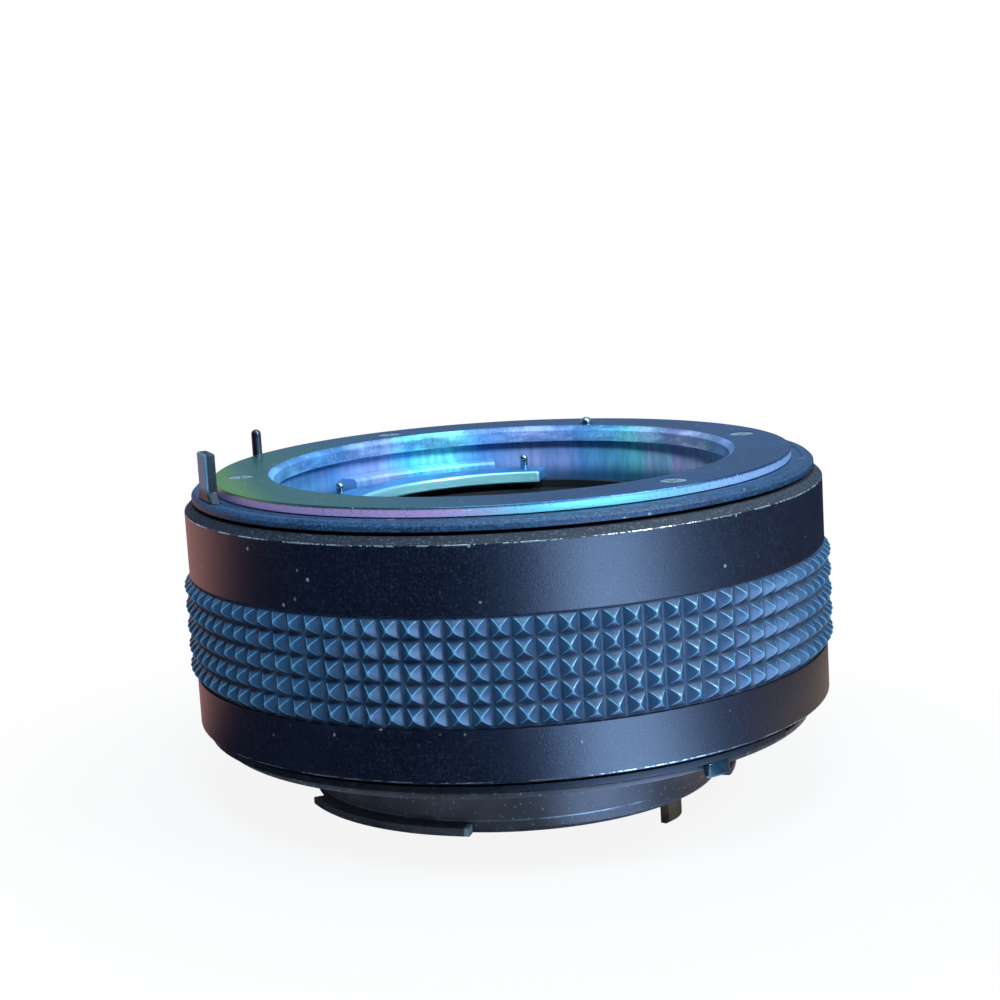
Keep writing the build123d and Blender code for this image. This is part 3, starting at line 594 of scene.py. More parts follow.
def grip_finish(settings, valley, low, high):
    """Slate rubber, dusty in the valleys and darkened there by painted shade, and paler and shinier along the
    ridges of the studs from rubbing and a painted highlight.
    """
    graph = Graph("grip_rubber")
    height = (graph.radius - valley) / settings.stud
    grain = graph.noise(4.0, 3.0, 0.7)
    patch = graph.noise(0.07, 3.0, 0.6)
    across = (graph.angle * (settings.columns / (2 * pi))).fold()
    along = ((graph.z - low) * (settings.rows / (high - low))).fold()
    ridge = 1.0 - abs(across - along ** settings.curve).step(0.03, 0.09)
    # Paler blue-cyan on the stud tops and ridges: partly wear, partly a painted highlight.
    rubbed_and_highlight = (height.step(0.62, 1.0) * 0.5 + ridge * height.step(0.1, 0.3)).clamped()
    dusty = (1.0 - height.step(0.0, 0.4)) * graph.noise(0.5, 3.0, 0.7).step(0.42, 0.7)
    colour = graph.mix(patch.step(0.3, 0.75), tuple(settings.rubber), lighter(settings.rubber, 1.35))
    # Painted shade: the rubber darkens down into the valleys between the studs.
    colour = graph.mix((1.0 - height.step(0.0, 0.5)) * 0.6, colour, (0.006, 0.016, 0.04))
    colour = graph.mix(rubbed_and_highlight * 0.75, colour, (0.12, 0.31, 0.46))
    colour = graph.mix(dusty * 0.2, colour, (0.14, 0.17, 0.22))
    colour = graph.mix(dust_specks(graph, 0.6, 0.1, 0.36) * 0.7, colour, (0.4, 0.45, 0.52))
    rough = 0.3 - rubbed_and_highlight * 0.06 + grain * 0.1 + dusty * 0.12 + (1.0 - height.step(0.02, 0.2)) * 0.3
    normal = graph.bump(grain, 0.015 * MM, 0.6)
    return graph.finish(colour, rough, 0.0, normal, Specular_IOR_Level=0.8)


def plating_finish(name, settings, face_height):
    """Darkened chrome with painted reflections, green to violet round the ring, with turning marks and dust.
    """
    graph = Graph(name)
    turned_marks = graph.noise(1.0, 4.0, 0.75, graph.polar(9.0, 1.2, 9.0))
    patch = graph.noise(0.09, 3.0, 0.6)
    half = 29.0 * MM
    leftness = (graph.x * (-1.0 / half) - graph.y * (0.25 / half)).clamped()
    side = 1.0 - graph.z.step(face_height - 0.3 * MM, face_height - 0.08 * MM)
    face = graph.mix(patch.step(0.3, 0.7) * 0.45, tuple(settings.plating), lighter(settings.plating, 1.8))
    # Painted reflections on the face: cyan, green and yellow-green towards the left.
    face = graph.mix(leftness.step(0.05, 0.5) * 0.75, face, (0.06, 0.25, 0.33))
    face = graph.mix(leftness.step(0.35, 0.8), face, (0.1, 0.31, 0.22))
    face = graph.mix(leftness.step(0.86, 1.0), face, (0.34, 0.62, 0.1))
    # Painted reflections on the side band: blue, a cyan highlight in the middle and violet towards the left.
    middle = (graph.x / half).band(0.12, 0.18, 0.5)
    rim = graph.mix(middle, (0.42, 0.6, 1.0), (0.22, 0.72, 0.85))
    rim = graph.mix(leftness.step(0.1, 0.5), rim, (0.7, 0.42, 0.78))
    colour = graph.mix(side, face, rim)
    bore = 1.0 - graph.radius.step(settings.bore + 0.5 * MM, settings.bore + 0.6 * MM)
    shade = graph.noise(1.0, 2.0, 0.6, graph.polar(0.0, 4.0, 0.6)).step(0.38, 0.6)
    shaded_bore = graph.mix(0.22 + shade * 0.48, throat_streaks(graph, settings), (0.02, 0.07, 0.2))
    colour = graph.mix(bore, colour, shaded_bore)
    grain = graph.noise(4.5, 2.0, 0.8)
    colour = graph.mix(grain.step(0.55, 0.75) * 0.45, colour, (0.5, 0.62, 0.74))
    colour = graph.mix((1.0 - grain.step(0.3, 0.45)) * 0.5, colour, (0.02, 0.03, 0.05))
    scuffs = graph.noise(0.8, 4.0, 0.8, graph.polar(3.0, 20.0, 2.0)).step(0.6, 0.72)
    colour = graph.mix(scuffs * 0.25, colour, (0.5, 0.55, 0.6))
    specks = dust_specks(graph, 1.9, 0.16, 0.44)
    colour = graph.mix(specks * 0.85, colour, (0.72, 0.8, 0.85))
    rough = 0.26 + turned_marks * 0.14 + specks * 0.3 + patch * 0.08
    normal = graph.bump(grain, 0.012 * MM, 0.5, graph.bump(turned_marks, 0.01 * MM, 0.5))
    metal = (1.0 - specks * 0.8 - bore * 0.65 - side * 0.6).clamped()
    return graph.finish(colour, rough, metal, normal)


def throat_streaks(graph, settings):
    """Soft upright patches of painted reflection, blue through cyan to violet and a little green, with
    painted shade deeper down.
    """
    streak = graph.noise(1.0, 2.0, 0.5, graph.polar(0.0, 9.0, 0.05))
    fine = graph.noise(1.0, 2.0, 0.6, graph.polar(0.2, 30.0, 0.25))
    base = tuple(settings.throat)
    along = abs(graph.angle) * (1 / pi) + (streak - 0.5) * 0.14
    # Painted reflections and a bright cyan painted highlight, by the angle round the wall.
    colour = graph.ramp(
        along, (0.06, (0.32, 0.44, 0.84)), (0.13, (0.6, 0.7, 0.8)), (0.2, (0.7, 0.5, 0.92)),
        (0.29, (0.2, 0.75, 0.75)), (0.36, (0.16, 0.4, 0.85)), (0.45, (0.42, 0.44, 0.8)), (0.53, base),
        (0.58, (0.3, 0.98, 1.0)), (0.64, (0.12, 0.6, 0.95)), (0.7, (0.4, 0.46, 0.78)), (0.8, base),
        (0.9, (0.2, 0.5, 0.9)))
    colour = graph.mix((1.0 - fine.step(0.35, 0.6)) * 0.35, colour, (0.05, 0.16, 0.42))
    # Painted shade: the wall turns dark blue deeper down the throat.
    depth = 1.0 - graph.z.step(20.6 * MM, 22.6 * MM)
    return graph.mix(depth * 0.85, colour, (0.01, 0.05, 0.14))


def throat_finish(settings):
    """The bright turned wall inside the bayonet, with painted reflections in soft blue, cyan and violet
    streaks and painted shade deeper in.
    """
    graph = Graph("throat_chrome")
    fine = graph.noise(1.0, 4.0, 0.7, graph.polar(1.0, 26.0, 0.5))
    colour = throat_streaks(graph, settings)
    colour = graph.mix(dust_specks(graph, 0.7, 0.12, 0.4) * 0.6, colour, (0.7, 0.78, 0.85))
    return graph.finish(colour, 0.3 + fine * 0.15, 0.3, graph.bump(fine, 0.01 * MM, 0.4))


def painted_black(name, paint, gloss, grain_scale, worn, tint):
    """Black enamel with a coarse grain, small chips and dust; a bright tint on the grain paints glints."""
    graph = Graph(name)
    grain = graph.noise(grain_scale, 1.0, 0.6)
    patch = graph.noise(0.2, 3.0, 0.6)
    limit = 0.7 - 0.1 * worn
    chips = graph.noise(1.6, 3.0, 0.75).step(limit, limit + 0.02)
    dust = dust_specks(graph, 0.6, 0.13, 0.42)
    colour = graph.mix(patch.step(0.3, 0.75), paint, lighter(paint, 1.8))
    colour = graph.mix(grain.step(0.42, 0.7) * 0.4, colour, tint)
    colour = graph.mix(chips * 0.3, colour, (0.34, 0.38, 0.42))
    colour = graph.mix(dust * 0.55, colour, (0.4, 0.43, 0.48))
    rough = gloss + grain * 0.14 + dust * 0.2
    return graph.finish(colour, rough, chips * 0.6, graph.bump(grain, 0.015 * MM, 0.6))


def turned_metal(name, base, roughness, tarnish, amount):
    """Plain metal with turning marks, tarnish and grime."""
    graph = Graph(name)
    marks = graph.noise(1.0, 4.0, 0.75, graph.polar(10.0, 2.0, 10.0))
    patch = graph.noise(0.6, 4.0, 0.65)
    colour = graph.mix(patch.step(0.4, 0.72) * amount, base, tarnish)
    colour = graph.mix(marks.step(0.5, 0.8) * 0.25, colour, lighter(base, 1.35))
    grime = graph.noise(2.2, 3.0, 0.7).step(0.6, 0.75)
    colour = graph.mix(grime * 0.35, colour, (0.05, 0.05, 0.055))
    rough = roughness + marks * 0.12 + grime * 0.25
    return graph.finish(colour, rough, 1.0, graph.bump(marks, 0.008 * MM, 0.5))


def flat_black(name, black):
    """Anti-glare paint with a fine tooth and a little dust."""
    graph = Graph(name)
    tooth = graph.noise(3.0, 3.0, 0.8)
    dust = dust_specks(graph, 0.5, 0.12, 0.4)
    colour = graph.mix(tooth.step(0.4, 0.8) * 0.6, black, lighter(black, 2.6))
    colour = graph.mix(dust * 0.4, colour, (0.3, 0.33, 0.36))
    normal = graph.bump(tooth, 0.02 * MM, 0.6)
    return graph.finish(colour, 0.6 + tooth * 0.2, 0.0, normal, Specular_IOR_Level=0.3)


def coated_glass():
    """Optical glass with a thin coating, a few specks and a faint smear."""
    graph = Graph("coated_glass")
    smear = graph.noise(0.15, 4.0, 0.7, distortion=1.5)
    specks = dust_specks(graph, 0.4, 0.08, 0.34)
    colour = graph.mix(specks * 0.5, (0.86, 0.93, 0.98), (0.5, 0.52, 0.55))
    rough = 0.015 + smear.step(0.5, 0.85) * 0.05 + specks * 0.3
    return graph.finish(colour, rough, 0.0, None, Transmission_Weight=1.0, IOR=1.56,
                        Thin_Film_Thickness=430.0, Thin_Film_IOR=1.36)


def index_paint():
    """Red paint in a drilled recess, slightly faded."""
    graph = Graph("index_paint")
    fade = graph.noise(2.0, 3.0, 0.7)
    colour = graph.mix(fade.step(0.4, 0.8), (0.42, 0.016, 0.012), (0.3, 0.03, 0.025))
    return graph.finish(colour, 0.35 + fade * 0.15, 0.0, graph.bump(fade, 0.02 * MM, 0.5), Coat_Weight=0.3)


class Piece:
    """Shared parts of every operator here."""
    bl_options = {"REGISTER", "UNDO"}

    def settings(self, group):
        return getattr(bpy.context.scene, group)


class CONVERTER_OT_shells(Piece, bpy.types.Operator):
    """Turn the two black shells and set the mounting dot"""
    bl_idname = "converter.shells"
    bl_label = "Shells"
    heel = 0.22 * MM
    dull_margin = 0.05 * MM
    heel_dull, heel_worn = 0.14 * MM, 0.2 * MM
    dot_radius, dot_depth = 0.8 * MM, 0.4 * MM
    window_width, window_depth = 2.3 * MM, 3 * MM
    window_spare = 0.3 * MM

    def execute(self, context):
        shell = self.settings("converter_shell")
        radius = reach("upper_shell")
        lip_radius = radius - shell.lip_width
        inner = radius - shell.wall
        low, high = heights("upper_shell")
        shoulder = high - shell.chamfer
        upper = lathe("upper_shell_dressed", [
            (inner, low), (radius, low), (radius, shoulder), (radius - shell.chamfer, high),
            (lip_radius, high), (lip_radius, high - shell.lip), (inner, high - shell.lip)])
        soften(upper, shell.edge)
        cut(upper, self.arm_window(radius), self.dot_recess(radius))
        smooth(upper)
        chamfer = (shoulder + self.dull_margin, high)
        finish = shell_finish("upper_shell_paint", shell, shoulder, chamfer, shell.wear)
        finish_piece(upper, HOUSING, "upper_shell", finish)

        low, high = heights("lower_shell")
        lower = lathe("lower_shell_dressed", [
            (lip_radius, low), (radius - self.heel, low), (radius, low + self.heel), (radius, high),
            (inner, high), (inner, low + shell.lip), (lip_radius, low + shell.lip)])
        soften(lower, shell.edge)
        chamfer = (low - self.dull_margin, low + self.heel_dull)
        finish = shell_finish("lower_shell_paint", shell, low + self.heel_worn, chamfer, shell.wear)
        finish_piece(lower, HOUSING, "lower_shell", finish)
        dress_nodes(["index_dot"], index_paint())
        return {"FINISHED"}

    def arm_window(self, radius):
        """The window in which the lock's arm slides."""
        low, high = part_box("lock_arm")
        level = (low[2] + high[2] - LOCK_TRAVEL) / 2
        height = high[2] - low[2] + LOCK_TRAVEL + self.window_spare
        return block(at(radius, bearing("lock_arm"), level), self.window_depth, self.window_width, height)

    def dot_recess(self, radius):
        """The drilled recess of the mounting dot."""
        depth = 2 * MM
        start_afresh()
        bpy.ops.mesh.primitive_cylinder_add(vertices=48, radius=self.dot_radius, depth=depth)
        outward = at(radius + depth / 2 - self.dot_depth, bearing("index_dot"), centre("index_dot")[2])
        return place(bpy.context.object, outward @ Matrix.Rotation(pi / 2, 4, "Y"))


class CONVERTER_OT_grip(Piece, bpy.types.Operator):
    """Model one column of studs and spin it round the grip"""
    bl_idname = "converter.grip"
    bl_label = "Grip"
    valley_depth = 0.25 * MM
    back_depth = 1.03 * MM
    near = 0.01
    seam_merge = 0.004 * MM

    def execute(self, context):
        grip = self.settings("converter_grip")
        valley = reach("upper_shell") - self.valley_depth
        inner = reach("upper_shell") - self.back_depth
        low, high = heights("grip_sleeve")
        studs_low, studs_high = low + grip.rim, high - grip.rim
        row = (high - low - 2 * grip.rim) / grip.rows
        half = pi / grip.columns
        edge = valley * cos(half)
        width = 2 * valley * sin(half)
        start_afresh()
        bpy.ops.mesh.primitive_plane_add(size=1.0)
        stud = bpy.context.object
        face = Matrix.Translation((edge, 0.0, studs_low + row / 2)) @ Matrix.Rotation(pi / 2, 4, "Y")
        place(stud, face @ Matrix.Diagonal((row, width, 1.0, 1.0)))
        self.raise_stud(stud, grip, width, row)
        offsets = [Matrix.Translation((0.0, 0.0, row * index)) for index in range(grip.rows)]
        column = join("stud_column", copies(stud, offsets))
        turn(column, 180 / grip.columns)
        edit_all(column)
        bpy.ops.mesh.spin(steps=grip.columns, dupli=True, angle=2 * pi, center=(0, 0, 0), axis=(0, 0, 1))
        bpy.ops.object.mode_set(mode="OBJECT")
        back = [(edge, studs_low), (edge, low), (inner, low), (inner, high), (edge, high), (edge, studs_high)]
        sleeve = lathe("grip_back", back, closed=False, steps=grip.columns * 2)
        whole = tidy_mesh(join("grip_sleeve_dressed", [column, sleeve]), self.seam_merge)
        pick(whole)
        bpy.ops.object.shade_smooth_by_angle(angle=radians(24))
        finish = grip_finish(grip, valley, studs_low, studs_high)
        finish_piece(whole, HOUSING, "grip_sleeve", finish)
        return {"FINISHED"}

    def raise_stud(self, stud, grip, width, row):
        """Insets the cell to leave its valleys, then draws the inside up to a point with softened ridges."""
        edit_all(stud)
        bpy.ops.mesh.inset(thickness=grip.seam / 2, depth=0.0)
        bpy.ops.transform.resize(value=(1.0, (width - grip.floor) / (width - grip.seam), 1.0))
        bpy.ops.mesh.poke()
        bpy.ops.object.mode_set(mode="OBJECT")
        half_width = (width - grip.floor) / 2
        half_row = (row - grip.seam) / 2
        points = stud.data.vertices
        middle = sum((vertex.co for vertex in points), Vector()) / len(points)
        near = self.near

        def spread(point):
            return abs(point.y - middle.y) / half_width, abs(point.z - middle.z) / half_row

        def select_ridges(curve):
            bpy.ops.object.mode_set(mode="EDIT")
            bpy.ops.mesh.select_mode(type="EDGE")
            bpy.ops.mesh.select_all(action="DESELECT")
            bpy.ops.object.mode_set(mode="OBJECT")
            for edge in stud.data.edges:
                ends = [spread(points[index].co) for index in edge.vertices]
                on_ridge = all(abs(across - along ** curve) < near for across, along in ends)
                across, along = spread((points[edge.vertices[0]].co + points[edge.vertices[1]].co) / 2)
                edge.select = on_ridge and min(across, along) > near and max(across, along) < 1.0 - near
                if edge.select:
                    for index in edge.vertices:
                        points[index].select = True
            bpy.ops.object.mode_set(mode="EDIT")

        select_ridges(1.0)
        bpy.ops.mesh.subdivide(number_cuts=4)
        bpy.ops.object.mode_set(mode="OBJECT")
        for vertex in points:
            across, along = spread(vertex.co)
            if along < 1.0 - near and abs(across - along) < near:
                bent = along ** grip.curve
                side = 1 if vertex.co.y > middle.y else -1
                vertex.co.y = middle.y + side * half_width * bent
                vertex.co.x += grip.stud * (1.0 - bent)
        select_ridges(grip.curve)
        bpy.ops.mesh.bevel(offset=grip.ridge, segments=2, affect="EDGES")
        bpy.ops.object.mode_set(mode="OBJECT")


class CONVERTER_OT_front_mount(Piece, bpy.types.Operator):
    """Turn the front bayonet ring, drill it and drive its screws"""
    bl_idname = "converter.front_mount"
    bl_label = "Front mount"
    edge = 0.12 * MM
    hole = 0.72 * MM
    head_depth = 0.72 * MM
    sunk = 0.06 * MM
    sink_level, sink_depth, sink_gap = 0.34 * MM, 0.75 * MM, 0.06 * MM
    pin_hole_depth = 6 * MM
    shank, shank_length = 0.7 * MM, 2.9 * MM
    rim_low, rim_high, rim_edge = 0.12 * MM, 0.04 * MM, 0.05 * MM
    recess = (1.5 * MM, 0.28 * MM, 0.7 * MM)
    twist_step = 25

    def execute(self, context):
        mount = self.settings("converter_mount")
        radius = reach("front_mount")
        low, high = heights("front_mount")
        ring = lathe("front_mount_dressed", [
            (mount.bore, low), (mount.neck, low), (mount.neck, high - mount.lip), (radius, high - mount.lip),
            (radius, high - self.edge), (radius - self.edge, high), (mount.bore + mount.entry, high),
            (mount.bore, high - mount.entry)])
        soften(ring, 0.05 * MM)
        sink = mount.screw + self.sink_gap
        drill(ring, "front_mount_screws", high - self.sink_level, self.hole, sink, self.sink_depth)
        x, y, _ = centre("lock_pin")
        start_afresh()
        bpy.ops.mesh.primitive_cylinder_add(vertices=48, radius=self.hole, depth=self.pin_hole_depth,
                                            location=(x, y, high))
        cut(ring, bpy.context.object)
        smooth(ring)
        chrome = plating_finish("mount_chrome", mount, high)
        finish_piece(ring, HOUSING, "front_mount", chrome)
        screws = [self.screw(mount, high - self.sunk, circle, degrees, self.twist_step * index)
                  for index, (circle, degrees) in enumerate(screw_places("front_mount_screws"))]
        steel = turned_metal("screw_steel", (0.62, 0.74, 0.74), 0.42, (0.25, 0.34, 0.28), 0.5)
        screw_set = join("front_mount_screws_dressed", screws)
        finish_piece(screw_set, HOUSING, "front_mount_screws", steel)
        return {"FINISHED"}

    def screw(self, mount, high, circle, degrees, twist):
        """A countersunk head with a broken rim and a cross recess."""
        foot = high - self.shank_length
        outline = [(0.0, foot), (self.shank, foot), (self.shank, high - self.head_depth),
                   (mount.screw, high - self.rim_low), (mount.screw, high - self.rim_high),
                   (mount.screw - self.rim_edge, high), (0.0, high)]
        head = lathe("screw_head", outline, closed=False, steps=40)
        for quarter in (0, 90):
            across = Matrix.Translation((0, 0, high)) @ Matrix.Rotation(radians(quarter + twist), 4, "Z")
            cut(head, block(across, *self.recess))
        smooth(head, 30)
        return place(head, at(circle, degrees, 0.0))


class CONVERTER_OT_claws(Piece, bpy.types.Operator):
    """Turn the claw ring and add the claws that hold a lens"""
    bl_idname = "converter.claws"
    bl_label = "Claw ring"
    starts = (-148, -28, 92)
    span = 46
    below_face = 3.5 * MM
    height = 1.5 * MM
    chamfer = 0.3 * MM
    wall_step, rooted = 0.3 * MM, 0.3 * MM

    def execute(self, context):
        mount = self.settings("converter_mount")
        inner = mount.bore + self.wall_step
        wall = lathe("claw_wall", oblong(inner, reach("claw_ring"), *heights("claw_ring")))
        pieces = [soften(wall, 0.04 * MM)]
        high = top("front_mount") - self.below_face
        low = high - self.height
        root = inner + self.rooted
        outline = [(mount.claw, low), (root, low), (root, high), (mount.claw + self.chamfer, high),
                   (mount.claw, high - self.chamfer)]
        for start in self.starts:
            pieces.append(soften(sector("claw", outline, start, self.span), 0.06 * MM))
        ring = join("claw_ring_dressed", pieces)
        finish_piece(ring, HOUSING, "claw_ring", throat_finish(mount))
        spring = turned_metal("spring_steel", (0.4, 0.42, 0.46), 0.25, (0.2, 0.17, 0.12), 0.4)
        dress_nodes(["claw_springs", "coupling_spring", "stopdown_spring", "lock_spring"], spring)
        return {"FINISHED"}


class CONVERTER_OT_coupling(Piece, bpy.types.Operator):
    """Make the coupling rings, the follower tab and pin, and the rear lug"""
    bl_idname = "converter.coupling"
    bl_label = "Aperture coupling"
    bevel = 0.35 * MM
    groove = (1.15 * MM, 1.25 * MM, 1.45 * MM, 1.55 * MM)
    groove_depth = 0.12 * MM
    neck_gap = 0.07 * MM
    pocket, pocket_depth = 0.46 * MM, 0.6 * MM
    tab_foot, tab_width, tab_thickness = 2.8 * MM, 1.55 * MM, 1.1 * MM
    tab_foot_height, tab_inset = 0.9 * MM, 0.4 * MM
    pin_radius, pin_dome = 0.52 * MM, 0.45 * MM
    flare_radii, flare_heights = (0.64 * MM, 0.6 * MM), (0.12 * MM, 0.35 * MM)
    rear_inner = 28.47 * MM
    rear_start, rear_span = 62.5, 262
    lug_wall = 0.85 * MM
    lug_start, lug_span = -56.6, 5.0

    def execute(self, context):
        # The bright blue grain of this enamel is painted glints.
        enamel = painted_black("coupling_black", (0.006, 0.015, 0.036), 0.42, 4.6, 0.3, (0.05, 0.16, 0.34))
        radius = reach("front_coupling_ring")
        low, high = heights("front_coupling_ring")
        inner = self.settings("converter_mount").neck + self.neck_gap
        outline = [(inner, low), (radius, low), (radius, high - self.bevel), (radius - self.bevel, high)]
        for inset, depth in zip(self.groove, (0.0, self.groove_depth, self.groove_depth, 0.0)):
            outline.append((radius - inset, high - depth))
        ring = lathe("front_coupling_ring_dressed", outline + [(inner, high)])
        soften(ring, 0.06 * MM, 3)
        drill(ring, "coupling_screws", high, self.pocket, self.pocket, self.pocket_depth, 40)
        smooth(ring)
        finish_piece(ring, COUPLING, "front_coupling_ring", enamel)
        self.follower_tab()
        self.follower_pin()
        self.rear_ring()
        self.lug()
        dress_nodes(["coupling_posts"], enamel)
        dress_nodes(["coupling_screws"], bpy.data.materials["screw_steel"])
        return {"FINISHED"}

    def follower_tab(self):
        """An upright plate on a flared foot."""
        low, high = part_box("follower_tab")
        height = high[2] - low[2]
        foot_height = self.tab_foot_height
        plate = fill_outline("follower_tab_dressed", [
            (-self.tab_foot, 0.0), (self.tab_foot, 0.0), (self.tab_width, foot_height),
            (self.tab_width, height), (-self.tab_width, height), (-self.tab_width, foot_height)])
        bpy.ops.mesh.extrude_region_move(TRANSFORM_OT_translate={"value": (0.0, self.tab_thickness, 0.0)})
        tidy_mesh(plate)
        outer = reach("front_coupling_ring") - self.tab_inset
        place(plate, at(outer, bearing("follower_tab"), low[2]) @ Matrix.Rotation(pi / 2, 4, "Z"))
        soften(plate, 0.22 * MM, 3)
        finish_piece(plate, COUPLING, "follower_tab", self.tab_finish(outer, low[2]))

    def tab_finish(self, outer, foot):
        """Black enamel, rubbed to blue steel on the outward face and scratched along its corners."""
        graph = Graph("follower_steel")
        grain = graph.noise(4.0, 3.0, 0.7)
        scratches = graph.noise(1.8, 3.0, 0.75).step(0.6, 0.66)
        above_foot = graph.z.step(foot + 0.7 * MM, foot + 1.6 * MM)
        outward = graph.radius.step(outer - 0.22 * MM, outer - 0.08 * MM) * above_foot
        colour = graph.mix(outward, (0.008, 0.012, 0.022), (0.16, 0.32, 0.46))
        colour = graph.mix(scratches * (0.15 + outward * 0.4), colour, (0.4, 0.55, 0.65))
        return graph.finish(colour, 0.4 + grain * 0.15, outward * 0.5, graph.bump(grain, 0.012 * MM, 0.6))

    def follower_pin(self):
        """A turned pin with a domed head and a flared foot."""
        low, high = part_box("follower_pin")
        x, y, _ = centre("follower_pin")
        neck = self.pin_radius
        shoulder = high[2] - low[2] - self.pin_dome
        foot, flare = self.flare_radii
        flare_low, flare_high = self.flare_heights
        outline = [(0.0, 0.0), (foot, 0.0), (flare, flare_low), (neck, flare_high), (neck, shoulder)]
        outline += dome(neck, shoulder, self.pin_dome, (20, 40, 60, 80))
        pin = lathe("follower_pin_dressed", outline + [(0.0, high[2] - low[2])], closed=False, steps=48)
        place(pin, Matrix.Translation((x, y, low[2])))
        smooth(pin, 50)
        steel = turned_metal("pin_steel", (0.13, 0.17, 0.24), 0.32, (0.06, 0.07, 0.1), 0.5)
        finish_piece(pin, COUPLING, "follower_pin", steel)

    def rear_ring(self):
        """The open ring under the chassis, in view below the lower shell."""
        outline = oblong(self.rear_inner, reach("rear_coupling_ring"), *heights("rear_coupling_ring"))
        ring = sector("rear_coupling_ring_dressed", outline, self.rear_start, self.rear_span)
        soften(ring, 0.08 * MM)
        dull = painted_black("rear_ring_black", (0.006, 0.008, 0.014), 0.46, 4.6, 0.2, (0.03, 0.05, 0.08))
        finish_piece(ring, COUPLING, "rear_coupling_ring", dull)

    def lug(self):
        """The rounded lug under the rear coupling ring."""
        outer = reach("front_coupling_ring")
        outline = oblong(outer - self.lug_wall, outer, *heights("coupling_lug"))
        lug = sector("coupling_lug_dressed", outline, self.lug_start, self.lug_span)
        soften(lug, 0.3 * MM, 4, 60)
        glossy = painted_black("lug_enamel", (0.006, 0.02, 0.035), 0.14, 5.0, 0.1, (0.03, 0.09, 0.14))
        finish_piece(lug, COUPLING, "coupling_lug", glossy)


class CONVERTER_OT_rear_mount(Piece, bpy.types.Operator):
    """Turn the rear bayonet and add its tabs and screws"""
    bl_idname = "converter.rear_mount"
    bl_label = "Rear mount"
    plate = 0.55 * MM
    foot_chamfer = 0.45 * MM
    fillet = 0.15 * MM
    wall_inner, wall_outer = 22.4 * MM, 28.4 * MM
    tab_low, tab_high = -6.15 * MM, -5.25 * MM
    tab_chamfer, tab_rooted = 0.25 * MM, 0.5 * MM
    sink_level, sink_depth = 0.36 * MM, 0.8 * MM
    sink_wide, sink_narrow = 1.45 * MM, 0.72 * MM
    tab_places = ((-157, 54), (-18, 50), (84, 52))

    def execute(self, context):
        rear = self.settings("converter_rear")
        radius = reach("rear_mount")
        low, high = heights("rear_mount")
        inner = rear.barrel - rear.wall
        body = lathe("rear_barrel", [
            (inner, low), (rear.barrel - self.foot_chamfer, low), (rear.barrel, low + self.foot_chamfer),
            (rear.barrel, -self.fillet), (rear.barrel + self.fillet, 0.0), (radius, 0.0),
            (radius, self.plate), (self.wall_outer, self.plate), (self.wall_outer, high),
            (self.wall_inner, high), (self.wall_inner, self.plate), (inner, self.plate)])
        soften(body, 0.07 * MM)
        drill(body, "rear_mount_screws", self.sink_level, self.sink_wide, self.sink_narrow,
              self.sink_depth)
        smooth(body)
        root = rear.barrel - self.tab_rooted
        outer = rear.barrel + rear.tab
        outline = [(root, self.tab_low), (outer - self.tab_chamfer, self.tab_low),
                   (outer, self.tab_low + self.tab_chamfer), (outer, self.tab_high), (root, self.tab_high)]
        tabs = [soften(sector("tab", outline, start, span), 0.1 * MM) for start, span in self.tab_places]
        mount = join("rear_mount_dressed", [body, *tabs])
        finish_piece(mount, HOUSING, "rear_mount", self.finish(rear))
        screws = ["rear_mount_screws", "barrel_screws", "carrier_screws", "rotation_stop"]
        dress_nodes(screws, bpy.data.materials["screw_steel"])
        return {"FINISHED"}

    def finish(self, rear):
        """Semi-gloss black with a scratched line, nicked tabs and a painted highlight that makes one tab end
        pale.
        """
        graph = Graph("rear_black")
        grain = graph.noise(4.5, 2.0, 0.75)
        patch = graph.noise(0.15, 3.0, 0.6)
        nicks = graph.noise(1.4, 3.0, 0.75).step(0.66, 0.7)
        dust = dust_specks(graph, 2.0, 0.26, 0.56)
        tab_zone = graph.radius.step(rear.barrel + 0.1 * MM, rear.barrel + 0.4 * MM)
        tab_end = graph.angle.band(radians(sum(self.tab_places[0]) - 0.2), radians(0.7), radians(0.6))
        above_tabs = self.tab_high + 0.25 * MM
        # Painted highlight: the end of one tab is pale and not metallic.
        lit_end = tab_end * tab_zone * (1.0 - graph.z.step(self.tab_high + 0.05 * MM, above_tabs))
        line = graph.z.band(above_tabs, 0.04 * MM, 0.04 * MM) * (1.0 - tab_zone)
        line = line * graph.noise(0.3, 2.0).step(0.4, 0.6)
        colour = graph.mix(patch.step(0.3, 0.75), tuple(rear.paint), lighter(rear.paint, 1.7))
        colour = graph.mix(grain.step(0.55, 0.78) * 0.4, colour, (0.1, 0.12, 0.16))
        colour = graph.mix(dust * 0.7, colour, (0.45, 0.47, 0.5))
        bare = nicks * tab_zone * 0.5 + line * 0.5
        colour = graph.mix((bare + lit_end).clamped(), colour, (0.6, 0.72, 0.8))
        rough = 0.34 + grain * 0.16 + dust * 0.2
        metal = bare.clamped() * (1.0 - lit_end) * 0.8
        return graph.finish(colour, rough, metal, graph.bump(grain, 0.02 * MM, 0.8), Specular_IOR_Level=0.55)


